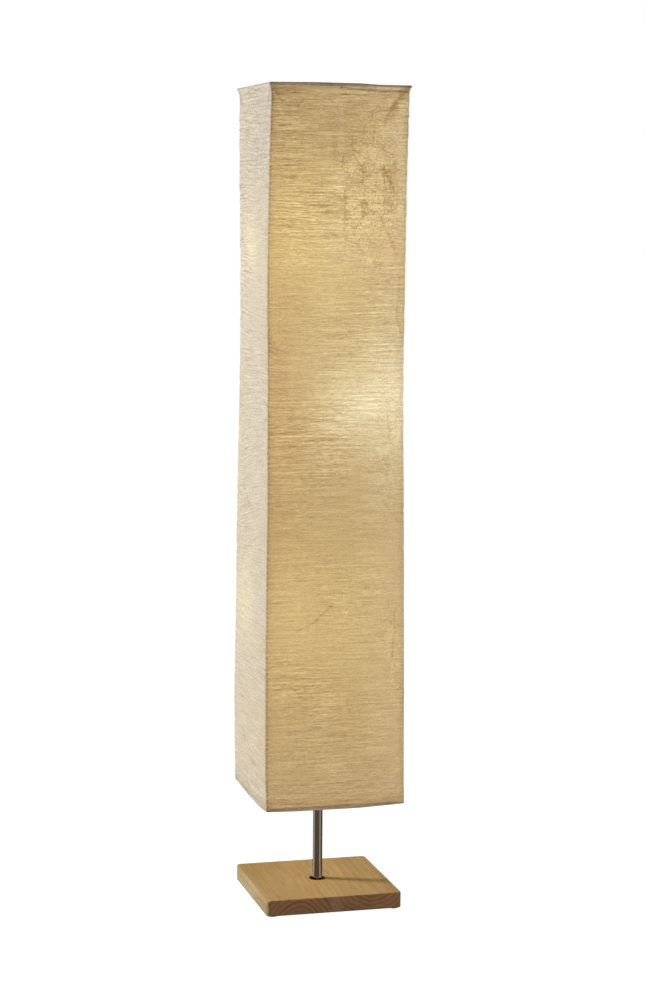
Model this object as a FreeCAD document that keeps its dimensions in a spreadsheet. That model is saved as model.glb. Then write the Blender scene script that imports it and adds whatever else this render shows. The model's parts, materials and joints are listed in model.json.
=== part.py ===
import FreeCAD, Part
import Sketcher
import math
import os

# Andon floor lamp: a tall square paper shade on a steel pole with three bulbs, over a square wood base.
# Millimetres, +Z up, origin on the floor under the pole. The front is -Y and the lamp's left side is -X.

Vector = FreeCAD.Vector
UP = Vector(0, 0, 1)

# Driving dimensions: each is one real size of the lamp, written once.
SIZES = [
    # whole lamp
    ("lamp_height", 1473.0), ("shade_height", 1277.0), ("shade_side", 254.0),
    # wood base and what stands under it
    ("base_side", 251.0), ("base_height", 29.0), ("base_corner", 8.0), ("base_ease", 2.0),
    ("pole_hole", 30.0), ("foot_stand", 1.0), ("foot_width", 22.0), ("foot_thickness", 3.0),
    ("foot_margin", 2.0), ("fit_gap", 0.1),
    # cover board under the base
    ("cover_ledge", 8.0), ("cover_recess", 0.2), ("cover_thickness", 2.5), ("cover_gap", 0.3),
    ("cover_corner", 5.0), ("cover_screw_head", 6.0), ("cover_head_height", 1.4),
    ("cover_screw_size", 3.0), ("cover_screw_length", 12.0),
    # steel ballast plate
    ("plate_thickness", 8.0), ("plate_gap", 2.0), ("wiring_room", 38.0), ("plate_screw_inset", 16.0),
    ("plate_screw_size", 4.0), ("plate_screw_head", 8.0), ("plate_head_height", 2.0),
    # leads inside the pole
    ("lead_size", 3.0), ("lead_gap", 0.4), ("lead_bend", 6.0), ("lead_lift", 1.2), ("lead_sweep", 20.0),
    ("bundle_gap", 0.9), ("lead_turn", 60.0),
    # tubes, threads and hubs of the pole
    ("spigot_wall", 1.55), ("thread_gap", 0.05), ("tube_wall", 1.6), ("spigot_length", 14.0),
    ("hub_step", 3.0), ("hub_height", 24.0),
    # nipple, nut and washer under the base
    ("nipple_lift", 0.5), ("nut_height", 3.2), ("nut_flats", 22.0), ("nut_margin", 0.3),
    ("washer_thickness", 1.2), ("washer_size", 24.0),
    # socket arms
    ("arm_size", 10.0), ("arm_wall", 1.25), ("arm_reach", 70.0), ("arm_bend", 18.0), ("arm_rise", 32.0),
    ("arm_stop", 1.2),
    # lamp sockets
    ("screw_gap", 0.3), ("shell_wall", 0.5), ("body_wall", 3.15), ("socket_depth", 27.0),
    ("contact_thickness", 1.2), ("contact_size", 10.0), ("contact_gap", 0.1), ("socket_floor", 7.7),
    ("chamber_depth", 7.0), ("chamber_wall", 2.5), ("cup_wall", 0.8), ("cup_floor", 1.0),
    ("cup_depth", 10.0), ("neck_length", 8.0), ("neck_wall", 2.0), ("shell_margin", 2.5),
    # bulbs
    ("bulb_length", 110.0), ("glass_size", 60.0), ("glass_wall", 0.9), ("glass_neck", 27.0),
    ("neck_top", 46.0), ("shoulder_turn", 35.0), ("glass_insert", 5.0), ("cap_size", 26.0),
    ("cap_wall", 0.4), ("cap_top", 25.0), ("cap_cone", 2.5), ("tip_size", 9.2), ("tip_height", 1.5),
    # heights of the bulbs' glow centres above the floor, and the arms' directions from +X
    ("glow_lower", 550.0), ("glow_middle", 926.0), ("glow_upper", 1195.0),
    ("turn_lower", 145.0), ("turn_middle", -10.0), ("turn_upper", 160.0),
    # top of the pole, and what the shade hangs from
    ("shoulder_height", 4.0), ("pin_size", 9.4), ("pin_taper", 1.0), ("stem_size", 6.0),
    ("stem_length", 9.0), ("pin_short", 0.5), ("seat_thickness", 1.2), ("ring_gap", 0.3),
    ("ring_size", 16.0), ("ring_height", 9.0), ("ring_recess", 0.5), ("seat_lap", 1.0),
    # wire frames and paper
    ("wire_size", 3.0), ("wire_corner", 5.0), ("hem_drop", 0.5), ("paper_gap", 0.4),
    ("paper_thickness", 0.6), ("paper_draw", 7.8),
    # cord inlet and terminal
    ("inlet_size", 10.0), ("inlet_flange", 14.0), ("flange_thickness", 1.5), ("inlet_length", 14.0),
    ("inlet_bore", 6.4), ("terminal_offset", 20.0), ("terminal_pitch", 9.0), ("terminal_depth", 16.0),
    ("terminal_side", 5.0), ("terminal_gap", 0.3), ("entry_depth", 6.0), ("entry_gap", 0.05),
    # past each cut's end
    ("overrun", 2.0),
]

# Shares of a size: heights up the shade and how much of the paper's draw-in each height takes.
SHARES = [
    ("screw_bite_share", 0.7),
    ("rise_share_1", 0.20), ("draw_share_1", 0.09), ("rise_share_2", 0.35), ("draw_share_2", 0.28),
    ("rise_share_3", 0.50), ("draw_share_3", 0.64), ("rise_share_4", 0.62), ("draw_share_4", 1.0),
    ("rise_share_5", 0.80), ("draw_share_5", 0.75), ("rise_share_6", 0.93), ("draw_share_6", 0.5),
]

# Places worked out from the sizes above.
PLACES = [
    # leads, tubes and hubs, from the inside out
    ("lead_r", "lead_size / 2"), ("lead_offset", "lead_size + lead_gap"),
    ("bore_r", "lead_offset + lead_r + bundle_gap"), ("spigot_r", "bore_r + spigot_wall"),
    ("tube_bore_r", "spigot_r + thread_gap"), ("tube_r", "tube_bore_r + tube_wall"),
    ("hub_r", "tube_r + hub_step"), ("hub_half", "hub_height / 2"), ("hub_end", "hub_half + spigot_length"),
    # levels of the base, from the floor up
    ("block_top", "foot_stand + base_height"), ("base_half", "base_side / 2"),
    ("cover_low", "foot_stand + cover_recess"), ("cover_high", "cover_low + cover_thickness"),
    ("lead_level", "cover_high + lead_lift + lead_r"), ("nipple_low", "lead_level + lead_r + nipple_lift"),
    ("nut_low", "nipple_low + nut_margin"), ("washer_low", "nut_low + nut_height"),
    ("plate_low", "washer_low + washer_thickness"), ("plate_high", "plate_low + plate_thickness"),
    ("roof", "block_top - plate_high"), ("nipple_high", "plate_high + spigot_length"),
    ("nipple_length", "nipple_high - nipple_low"), ("washer_r", "washer_size / 2"),
    ("nut_corner_r", "nut_flats / 2 / cos(30)"), ("plate_bore_r", "spigot_r + thread_gap"),
    # plan of the base, from the rim inwards
    ("base_rim", "cover_ledge + foot_width + 2 * foot_margin"), ("bay_half", "base_half - base_rim"),
    ("rebate_half", "bay_half + cover_ledge"), ("cover_half", "rebate_half - cover_gap"),
    ("rebate_depth", "cover_recess + cover_thickness"), ("bay_depth", "plate_high - foot_stand"),
    ("foot_place", "base_half - foot_margin - foot_width / 2"), ("foot_r", "foot_width / 2"),
    ("foot_hole_r", "foot_r + fit_gap"), ("foot_sink", "foot_thickness - foot_stand"),
    ("cover_screw_place", "bay_half + cover_ledge / 2"),
    ("cover_shank_r", "cover_screw_size / 2"), ("cover_shank_hole_r", "cover_shank_r + fit_gap"),
    ("cover_head_r", "cover_screw_head / 2"), ("cover_head_hole_r", "cover_head_r + fit_gap"),
    ("cover_screw_reach", "cover_recess + cover_screw_length + fit_gap"),
    ("plate_half", "bay_half - plate_gap"), ("plate_back", "bay_half - wiring_room"),
    ("plate_depth", "plate_back + plate_half"),
    ("plate_middle", "(plate_back - plate_half) / 2"), ("pole_hole_r", "pole_hole / 2"),
    ("plate_screw_x", "plate_half - plate_screw_inset"),
    ("plate_screw_y", "plate_depth / 2 - plate_screw_inset"),
    ("plate_screw_back", "plate_middle + plate_screw_y"),
    ("plate_screw_front", "plate_middle - plate_screw_y"),
    ("plate_shank_r", "plate_screw_size / 2"), ("plate_shank_hole_r", "plate_shank_r + fit_gap"),
    ("plate_head_r", "plate_screw_head / 2"), ("screw_bite", "roof * screw_bite_share"),
    ("pilot_depth", "bay_depth + screw_bite + fit_gap"),
    ("plate_screw_length", "plate_head_height + plate_thickness + screw_bite"),
    ("plate_screw_low", "plate_low - plate_head_height"),
    # cord inlet and terminal
    ("inlet_r", "inlet_size / 2"), ("inlet_hole_r", "inlet_r + fit_gap"), ("inlet_bore_r", "inlet_bore / 2"),
    ("flange_r", "inlet_flange / 2"), ("inlet_level", "foot_stand + base_height / 2"),
    ("inlet_inner", "base_half - inlet_length"), ("inlet_outer", "base_half + flange_thickness"),
    ("inlet_cut", "base_rim + overrun"), ("inlet_height", "base_height / 2"),
    ("terminal_low", "cover_high + terminal_gap"), ("terminal_height", "plate_high - terminal_low"),
    ("terminal_width", "2 * (terminal_pitch + terminal_side)"),
    ("terminal_front", "bay_half - (wiring_room + terminal_depth) / 2"),
    ("terminal_back", "terminal_front + terminal_depth"),
    ("terminal_left", "terminal_offset - terminal_width / 2"),
    ("terminal_right", "terminal_offset + terminal_width / 2"),
    ("lead_x_lower", "terminal_offset - terminal_pitch"), ("lead_x_upper", "terminal_offset"),
    ("lead_x_middle", "terminal_offset + terminal_pitch"),
    ("entry_r", "lead_r + entry_gap"), ("entry_level", "lead_level - terminal_low"),
    # sockets, from the bulb's screw outwards
    ("cap_r", "cap_size / 2"), ("shell_bore_r", "cap_r + screw_gap"),
    ("shell_r", "shell_bore_r + shell_wall"),
    ("body_bore_r", "shell_r + thread_gap"), ("body_r", "body_bore_r + body_wall"),
    ("cup_bore_r", "body_r - cup_wall"), ("stub_r", "cup_bore_r - thread_gap"),
    ("chamber_r", "stub_r - chamber_wall"), ("arm_r", "arm_size / 2"), ("arm_bore_r", "arm_r - arm_wall"),
    ("neck_bore_r", "arm_r + thread_gap"), ("neck_r", "neck_bore_r + neck_wall"),
    ("arm_start", "bore_r + arm_stop"), ("arm_bend_start", "arm_reach - arm_bend"),
    ("contact_r", "contact_size / 2"), ("contact_high", "-contact_gap"),
    ("contact_low", "contact_high - contact_thickness"), ("floor_low", "contact_low - socket_floor"),
    ("stub_low", "floor_low - chamber_depth"), ("cup_high", "stub_low + cup_depth"),
    ("cup_low", "stub_low - cup_floor"), ("neck_low", "cup_low - neck_length"),
    ("shell_high", "socket_depth - shell_margin"), ("lead_hole_r", "lead_r + fit_gap"),
    # bulbs, from the tip contact up
    ("tip_r", "tip_size / 2"), ("glass_r", "glass_size / 2"), ("glass_inner_r", "glass_r - glass_wall"),
    ("glass_centre", "bulb_length - glass_r"), ("glass_inner_top", "bulb_length - glass_wall"),
    ("shoulder_r", "glass_r * cos(shoulder_turn)"),
    ("shoulder_z", "glass_centre - glass_r * sin(shoulder_turn)"),
    ("shoulder_inner_r", "glass_inner_r * cos(shoulder_turn)"),
    ("shoulder_inner_z", "glass_centre - glass_inner_r * sin(shoulder_turn)"),
    ("neck_glass_r", "glass_neck / 2"), ("neck_glass_inner_r", "neck_glass_r - glass_wall"),
    ("cap_bore_r", "cap_r - cap_wall"), ("insert_r", "cap_bore_r - thread_gap"),
    ("insert_inner_r", "insert_r - glass_wall"), ("glass_low", "cap_top - glass_insert"),
    ("glass_seat", "cap_top + fit_gap"), ("neck_low_z", "glass_seat + glass_wall"),
    ("cone_high", "tip_height + cap_cone"), ("cone_high_inner", "cone_high + cap_wall"),
    ("tip_hole_r", "tip_r + fit_gap"), ("cap_low_inner", "tip_height + cap_wall"),
    # top of the lamp
    ("ring_high", "lamp_height - ring_recess"), ("ring_low", "ring_high - ring_height"),
    ("shoulder_high", "ring_low - seat_thickness"), ("shoulder_low", "shoulder_high - shoulder_height"),
    ("top_spigot_low", "shoulder_low - spigot_length"), ("pin_r", "pin_size / 2"),
    ("pin_high", "ring_high - pin_short"), ("pin_edge", "pin_high - pin_taper"),
    ("pin_end_r", "pin_r - pin_taper"), ("stem_r", "stem_size / 2"), ("stem_hole_r", "stem_r + thread_gap"),
    ("stem_low", "shoulder_high - stem_length"), ("ring_bore_r", "pin_r + ring_gap"),
    ("ring_r", "ring_size / 2"), ("seat_r", "ring_r + seat_lap"),
    # wire frames and paper
    ("shade_half", "shade_side / 2"), ("shade_low", "lamp_height - shade_height"),
    ("wire_r", "wire_size / 2"),
    ("wire_half", "shade_half - paper_thickness - paper_gap - wire_r"),
    ("wire_straight", "wire_half - wire_corner"),
    ("wire_top", "lamp_height - hem_drop - wire_r"), ("wire_bottom", "shade_low + hem_drop + wire_r"),
    ("spoke_level", "wire_top - wire_size"), ("spoke_length", "wire_half + wire_r - ring_r"),
]

LIGHTS = ("lower", "middle", "upper")
for light in LIGHTS:
    PLACES += [
        (f"seat_{light}", f"glow_{light} - glass_centre"),
        (f"hub_{light}", f"seat_{light} + stub_low - arm_rise"),
        (f"socket_x_{light}", f"arm_reach * cos(turn_{light})"),
        (f"socket_y_{light}", f"arm_reach * sin(turn_{light})"),
    ]

TUBES = (
    ("bottom_tube", "plate_high", "hub_lower - hub_half"),
    ("second_tube", "hub_lower + hub_half", "hub_middle - hub_half"),
    ("third_tube", "hub_middle + hub_half", "hub_upper - hub_half"),
    ("top_tube", "hub_upper + hub_half", "shoulder_low"),
)
for tube, low, high in TUBES:
    PLACES += [(f"{tube}_low", low), (f"{tube}_length", f"{high} - {tube}_low")]

PAPER_LEVELS = 8
for level in range(PAPER_LEVELS):
    whole = {0: "shade_low", PAPER_LEVELS - 1: "lamp_height"}
    height = whole.get(level, f"shade_low + shade_height * rise_share_{level}")
    half = "shade_half" if level in whole else f"shade_half - paper_draw * draw_share_{level}"
    PLACES += [
        (f"paper_z_{level}", height),
        (f"paper_half_{level}", half),
        (f"paper_inner_{level}", f"paper_half_{level} - paper_thickness"),
    ]


# The names that a sketch has for an edge's own points, and for its origin.
START, END, CENTRE = range(1, 4)
ORIGIN = (-1, START)

# How far an edge may lean, as a share of its length, and still count as upright or level.
LEAN_SHARE = 0.01

doc = FreeCAD.newDocument("FloorLamp")
sheet = doc.addObject("Spreadsheet::Sheet", "Sizes")
pieces = []


def fill_sheet():
    """Writes every size, share and place to a row of its own: name, value, alias."""
    rows = [(name, str(value)) for name, value in SIZES + SHARES]
    rows += [(name, "=" + text) for name, text in PLACES]
    for number, (name, text) in enumerate(rows, start=1):
        sheet.set(f"A{number}", name)
        sheet.set(f"B{number}", text)
        sheet.setAlias(f"B{number}", name)
    doc.recompute()


def value(name):
    """The number behind a name such as tube_r, -tube_r or 0."""
    if name == "0":
        return 0.0
    sign = -1.0 if name.startswith("-") else 1.0
    return sign * float(sheet.get(name.lstrip("-")))


def formula(name):
    """The same name as an expression that reads the sheet."""
    if name == "0":
        return "0"
    return ("-" if name.startswith("-") else "") + "Sizes." + name.lstrip("-")


def bind(item, **names):
    """Ties properties to sizes: bind(pad, Length="base_height"). Two underscores stand for a dot."""
    for path, name in names.items():
        item.setExpression(path.replace("__", "."), formula(name))


def keep(item, label):
    """Names a finished sub-part and lists it for export."""
    item.Label = label
    pieces.append(item)
    return item


def place(item, x="0", y="0", z="0", turn=None):
    """Moves a sub-part by named sizes, and turns it about the vertical."""
    if turn is not None:
        item.Placement = FreeCAD.Placement(Vector(0, 0, 0), FreeCAD.Rotation(UP, 1))
        item.setExpression("Placement.Rotation.Angle", formula(turn))
    bind(item, Placement__Base__x=x, Placement__Base__y=y, Placement__Base__z=z)
    return item


def new_body(label):
    return keep(doc.addObject("PartDesign::Body", label), label)


def new_sketch(body, role, lift="0"):
    """An empty sketch on one of the body's own origin planes, raised by a size."""
    plane = next(item for item in body.Origin.OriginFeatures if item.Role == role)
    sketch = body.newObject("Sketcher::SketchObject", body.Name + "_sketch")
    sketch.AttachmentSupport = (plane, [""])
    sketch.MapMode = "FlatFace"
    if lift != "0":
        bind(sketch, AttachmentOffset__Base__z=lift)
    return sketch


def pin_point(sketch, geometry, end, x, y):
    """Holds one end of a line or arc, or a circle's centre, at two named sizes from the origin."""
    for kind, name in (("DistanceX", x), ("DistanceY", y)):
        number = sketch.addConstraint(Sketcher.Constraint(kind, *ORIGIN, geometry, end, value(name)))
        if name != "0":
            sketch.setExpression(f"Constraints[{number}]", formula(name))


def set_radius(sketch, geometry, name):
    number = sketch.addConstraint(Sketcher.Constraint("Radius", geometry, value(name)))
    sketch.setExpression(f"Constraints[{number}]", formula(name))


def draw_circle(sketch, radius, x="0", y="0"):
    centre = Vector(value(x), value(y), 0)
    circle = sketch.addGeometry(Part.Circle(centre, UP, value(radius)))
    pin_point(sketch, circle, CENTRE, x, y)
    set_radius(sketch, circle, radius)


def draw_arc(sketch, start, end, radius):
    """An arc that turns left from start to end, less than a half circle."""
    chord = end - start
    middle = (start + end) * 0.5
    drop = math.sqrt(max(radius * radius - (chord.Length / 2) ** 2, 0.0))
    left = Vector(-chord.y, chord.x, 0).normalize()
    centre = middle + left * drop
    angles = [math.atan2(point.y - centre.y, point.x - centre.x) for point in (start, end)]
    return sketch.addGeometry(Part.ArcOfCircle(Part.Circle(centre, UP, radius), *angles))


def draw_outline(sketch, corners, closed=True):
    """Lines from corner to corner. A corner with a third entry is reached by a left-hand arc of
    that radius, and with a leading minus on the radius by a right-hand one."""
    points = [Vector(value(corner[0]), value(corner[1]), 0) for corner in corners]
    count = len(corners)
    first_end = {}
    for index in range(count if closed else count - 1):
        following = (index + 1) % count
        radius = corners[following][2] if len(corners[following]) > 2 else None
        start, end = points[index], points[following]
        if radius is None:
            edge = sketch.addGeometry(Part.LineSegment(start, end))
            ends = (START, END)
        elif radius.startswith("-"):
            edge = draw_arc(sketch, end, start, value(radius[1:]))
            ends = (END, START)
            set_radius(sketch, edge, radius[1:])
        else:
            edge = draw_arc(sketch, start, end, value(radius))
            ends = (START, END)
            set_radius(sketch, edge, radius)
        if index in first_end:
            sketch.addConstraint(Sketcher.Constraint("Coincident", *first_end[index], edge, ends[0]))
        else:
            pin_point(sketch, edge, ends[0], *corners[index][:2])
        if closed and following == 0:
            sketch.addConstraint(Sketcher.Constraint("Coincident", edge, ends[1], 0, START))
        else:
            pin_point(sketch, edge, ends[1], *corners[following][:2])
            first_end[following] = (edge, ends[1])


def rectangle(half_x, half_y):
    return [("-" + half_x, "-" + half_y), (half_x, "-" + half_y), (half_x, half_y), ("-" + half_x, half_y)]


def pad(body, sketch, length):
    feature = body.newObject("PartDesign::Pad", body.Name + "_pad")
    feature.Profile = sketch
    bind(feature, Length=length)
    return feature


def pocket(body, sketch, depth, flipped):
    """Cuts a sketch into the body and makes sure that something was cut."""
    doc.recompute()
    before = body.Shape.Volume
    feature = body.newObject("PartDesign::Pocket", body.Name + "_pocket")
    feature.Profile = sketch
    feature.Reversed = flipped
    bind(feature, Length=depth)
    doc.recompute()
    if not body.Shape.Volume < before:
        raise RuntimeError(f"{feature.Name} in {body.Label} cuts nothing")
    return feature


def revolve(body, sketch, axis="V_Axis"):
    feature = body.newObject("PartDesign::Revolution", body.Name + "_turned")
    feature.Profile = sketch
    feature.ReferenceAxis = (sketch, [axis])
    feature.Angle = 360
    return feature


def turned(label, outline):
    """A part turned on a lathe: its outline is radius and height, spun about the vertical."""
    body = new_body(label)
    sketch = new_sketch(body, "XZ_Plane")
    draw_outline(sketch, outline)
    revolve(body, sketch)
    return body


def ring(label, inner, outer, low, length):
    """A tube, washer or disc with a bore, standing on a level."""
    body = new_body(label)
    sketch = new_sketch(body, "XY_Plane")
    draw_circle(sketch, outer)
    draw_circle(sketch, inner)
    pad(body, sketch, length)
    return place(body, z=low)


def fillet(body, radius, wanted):
    """Rounds every edge of the body's last feature that wanted(edge) picks."""
    doc.recompute()
    base = body.Tip
    names = [f"Edge{n}" for n, edge in enumerate(base.Shape.Edges, start=1) if wanted(edge)]
    feature = body.newObject("PartDesign::Fillet", body.Name + "_fillet")
    feature.Base = (base, names)
    bind(feature, Radius=radius)
    doc.recompute()
    return feature


def is_upright(edge):
    return edge.BoundBox.ZLength > edge.BoundBox.DiagonalLength * (1 - LEAN_SHARE)


def is_level(edge):
    return edge.BoundBox.ZLength < edge.BoundBox.DiagonalLength * LEAN_SHARE


def mirrored_group(label, one, middle_y="0"):
    """Four like pieces, mirrored left to right and front to back, in one group."""
    across = doc.addObject("Part::Mirroring", label + "_across")
    across.Source = one
    across.Normal = Vector(1, 0, 0)
    pair = doc.addObject("Part::Compound", label + "_pair")
    pair.Links = [one, across]
    behind = doc.addObject("Part::Mirroring", label + "_behind")
    behind.Source = pair
    behind.Normal = Vector(0, 1, 0)
    bind(behind, Base__y=middle_y)
    group = doc.addObject("Part::Compound", label)
    group.Links = [pair, behind]
    keep(group, label)


def base_block():
    """The wood block: rounded corners, eased edges, a hole for the pole, and a bay underneath."""
    body = new_body("base_block")
    sketch = new_sketch(body, "XY_Plane")
    draw_outline(sketch, rectangle("base_half", "base_half"))
    pad(body, sketch, "base_height")
    fillet(body, "base_corner", is_upright)
    fillet(body, "base_ease", is_level)
    hole = new_sketch(body, "XY_Plane")
    draw_circle(hole, "pole_hole_r")
    pocket(body, hole, "base_height", True)
    for half, depth in (("rebate_half", "rebate_depth"), ("bay_half", "bay_depth")):
        bay = new_sketch(body, "XY_Plane")
        draw_outline(bay, rectangle(half, half))
        pocket(body, bay, depth, True)
    corner_holes(body, "foot_hole_r", "foot_place", "foot_sink")
    corner_holes(body, "cover_shank_hole_r", "cover_screw_place", "cover_screw_reach")
    pilots = new_sketch(body, "XY_Plane")
    for x in ("plate_screw_x", "-plate_screw_x"):
        for y in ("plate_screw_front", "plate_screw_back"):
            draw_circle(pilots, "plate_shank_hole_r", x, y)
    pocket(body, pilots, "pilot_depth", True)
    inlet = new_sketch(body, "XZ_Plane", "-base_half")
    draw_circle(inlet, "inlet_hole_r", "0", "inlet_height")
    pocket(body, inlet, "inlet_cut", True)
    place(body, z="foot_stand")


def corner_holes(body, radius, place_name, depth):
    """The same round hole in all four corners of the underside."""
    sketch = new_sketch(body, "XY_Plane")
    for x in (place_name, "-" + place_name):
        for y in (place_name, "-" + place_name):
            draw_circle(sketch, radius, x, y)
    pocket(body, sketch, depth, True)


def foot_pads():
    """Four round pads set into the underside, which the lamp stands on."""
    pad_one = doc.addObject("Part::Cylinder", "foot_pad")
    bind(pad_one, Radius="foot_r", Height="foot_thickness")
    bind(pad_one, Placement__Base__x="foot_place", Placement__Base__y="foot_place")
    mirrored_group("foot_pads", pad_one)


def bottom_cover():
    """A thin board that closes the bay, let in flush, with stepped holes for its screws."""
    body = new_body("bottom_cover")
    sketch = new_sketch(body, "XY_Plane")
    draw_outline(sketch, rectangle("cover_half", "cover_half"))
    pad(body, sketch, "cover_thickness")
    fillet(body, "cover_corner", is_upright)
    corner_holes(body, "cover_shank_hole_r", "cover_screw_place", "cover_thickness")
    corner_holes(body, "cover_head_hole_r", "cover_screw_place", "cover_head_height")
    place(body, z="cover_low")


def screw(name, head_r, head_height, shank_r, length):
    """A cheese-head screw standing on its head: outline of half of it, spun about its axis."""
    body = doc.addObject("PartDesign::Body", name)
    sketch = new_sketch(body, "XZ_Plane")
    outline = [("0", "0"), (head_r, "0"), (head_r, head_height), (shank_r, head_height)]
    draw_outline(sketch, outline + [(shank_r, length), ("0", length)])
    revolve(body, sketch)
    return body


def screws():
    cover = screw("cover_screw", "cover_head_r", "cover_head_height", "cover_shank_r", "cover_screw_length")
    place(cover, "cover_screw_place", "cover_screw_place", "cover_low")
    mirrored_group("cover_screws", cover)
    plate = screw("plate_screw", "plate_head_r", "plate_head_height", "plate_shank_r", "plate_screw_length")
    place(plate, "plate_screw_x", "plate_screw_back", "plate_screw_low")
    mirrored_group("ballast_screws", plate, "plate_middle")


def ballast_plate():
    """The steel plate that keeps the lamp upright and that the pole stands on."""
    body = new_body("ballast_plate")
    sketch = new_sketch(body, "XY_Plane")
    corners = [("-plate_half", "-plate_half"), ("plate_half", "-plate_half")]
    draw_outline(sketch, corners + [("plate_half", "plate_back"), ("-plate_half", "plate_back")])
    draw_circle(sketch, "plate_bore_r")
    for x in ("plate_screw_x", "-plate_screw_x"):
        for y in ("plate_screw_front", "plate_screw_back"):
            draw_circle(sketch, "plate_shank_hole_r", x, y)
    pad(body, sketch, "plate_thickness")
    place(body, z="plate_low")


def base_fixing():
    """The threaded nipple that ties pole and plate together, with its washer and nut."""
    ring("base_nipple", "bore_r", "spigot_r", "nipple_low", "nipple_length")
    ring("base_washer", "plate_bore_r", "washer_r", "washer_low", "washer_thickness")
    hexagon = doc.addObject("Part::Prism", "nut_hexagon")
    hexagon.Polygon = 6
    bind(hexagon, Circumradius="nut_corner_r", Height="nut_height")
    bore = doc.addObject("Part::Cylinder", "nut_bore")
    bind(bore, Radius="plate_bore_r", Height="nut_height")
    nut = doc.addObject("Part::Cut", "base_nut")
    nut.Base = hexagon
    nut.Tool = bore
    place(keep(nut, "base_nut"), z="nut_low")


def cord_bushing():
    """The flanged sleeve in the back edge of the base, which the supply cord enters by."""
    body = new_body("cord_bushing")
    sketch = new_sketch(body, "YZ_Plane")
    outline = [("inlet_inner", "inlet_bore_r"), ("inlet_outer", "inlet_bore_r"), ("inlet_outer", "flange_r")]
    outline += [("base_half", "flange_r"), ("base_half", "inlet_r"), ("inlet_inner", "inlet_r")]
    draw_outline(sketch, outline)
    revolve(body, sketch, "H_Axis")
    place(body, z="inlet_level")


def terminal_block():
    """The joint box in the bay: one entry for each lead, where the cord's cores meet them."""
    body = new_body("terminal_block")
    sketch = new_sketch(body, "XY_Plane")
    corners = [("terminal_left", "terminal_front"), ("terminal_right", "terminal_front")]
    corners += [("terminal_right", "terminal_back"), ("terminal_left", "terminal_back")]
    draw_outline(sketch, corners)
    pad(body, sketch, "terminal_height")
    entries = new_sketch(body, "XZ_Plane", "-terminal_front")
    for light in LIGHTS:
        draw_circle(entries, "entry_r", f"lead_x_{light}", "entry_level")
    pocket(body, entries, "entry_depth", False)
    place(body, z="terminal_low")


def pole():
    """Four tubes with a hollow hub between each two, and a shouldered plug at the top."""
    for tube, low, high in TUBES:
        ring(tube, "tube_bore_r", "tube_r", f"{tube}_low", f"{tube}_length")
    for light in LIGHTS:
        hub(light)
    plug = [("stem_hole_r", "top_spigot_low"), ("spigot_r", "top_spigot_low"), ("spigot_r", "shoulder_low")]
    plug += [("tube_r", "shoulder_low"), ("tube_r", "shoulder_high"), ("stem_hole_r", "shoulder_high")]
    turned("pole_plug", plug)
    pin = [("0", "stem_low"), ("stem_r", "stem_low"), ("stem_r", "shoulder_high"), ("pin_r", "shoulder_high")]
    turned("top_pin", pin + [("pin_r", "pin_edge"), ("pin_end_r", "pin_high"), ("0", "pin_high")])


def hub(light):
    """A hollow turned hub with a threaded spigot at each end and a side hole for the socket arm."""
    outline = [("bore_r", "-hub_end"), ("spigot_r", "-hub_end"), ("spigot_r", "-hub_half")]
    outline += [("hub_r", "-hub_half"), ("hub_r", "hub_half"), ("spigot_r", "hub_half")]
    body = turned(f"hub_{light}", outline + [("spigot_r", "hub_end"), ("bore_r", "hub_end")])
    hole = new_sketch(body, "YZ_Plane")
    draw_circle(hole, "neck_bore_r")
    pocket(body, hole, "hub_r", True)
    place(body, z=f"hub_{light}", turn=f"turn_{light}")


def socket_arm(light):
    """A bent tube that leaves the hub level and turns up into the socket."""
    body = new_body(f"arm_{light}")
    path = new_sketch(body, "XZ_Plane")
    corners = [("arm_start", "0"), ("arm_bend_start", "0"), ("arm_reach", "arm_bend", "arm_bend")]
    draw_outline(path, corners + [("arm_reach", "arm_rise")], closed=False)
    profile = new_sketch(body, "YZ_Plane", "arm_start")
    draw_circle(profile, "arm_r")
    draw_circle(profile, "arm_bore_r")
    pipe = body.newObject("PartDesign::AdditivePipe", body.Name + "_pipe")
    pipe.Profile = profile
    pipe.Spine = path
    place(body, z=f"hub_{light}", turn=f"turn_{light}")


def socket(light):
    """The metal cup, moulded body, brass screw shell and centre contact of one lamp socket."""
    cup = [("neck_bore_r", "neck_low"), ("neck_r", "neck_low"), ("neck_r", "cup_low"), ("body_r", "cup_low")]
    cup += [("body_r", "cup_high"), ("cup_bore_r", "cup_high"), ("cup_bore_r", "stub_low")]
    body = [("lead_hole_r", "floor_low"), ("chamber_r", "floor_low"), ("chamber_r", "stub_low")]
    body += [("stub_r", "stub_low"), ("stub_r", "cup_high"), ("body_r", "cup_high")]
    body += [("body_r", "socket_depth"), ("body_bore_r", "socket_depth"), ("body_bore_r", "contact_low")]
    shell = [("shell_bore_r", "contact_low"), ("shell_r", "contact_low"), ("shell_r", "shell_high")]
    contact = [("0", "contact_low"), ("contact_r", "contact_low"), ("contact_r", "contact_high")]
    made = [
        turned(f"socket_cup_{light}", cup + [("neck_bore_r", "stub_low")]),
        turned(f"socket_body_{light}", body + [("lead_hole_r", "contact_low")]),
        turned(f"screw_shell_{light}", shell + [("shell_bore_r", "shell_high")]),
        turned(f"centre_contact_{light}", contact + [("0", "contact_high")]),
    ]
    for piece in made:
        place(piece, f"socket_x_{light}", f"socket_y_{light}", f"seat_{light}")


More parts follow.
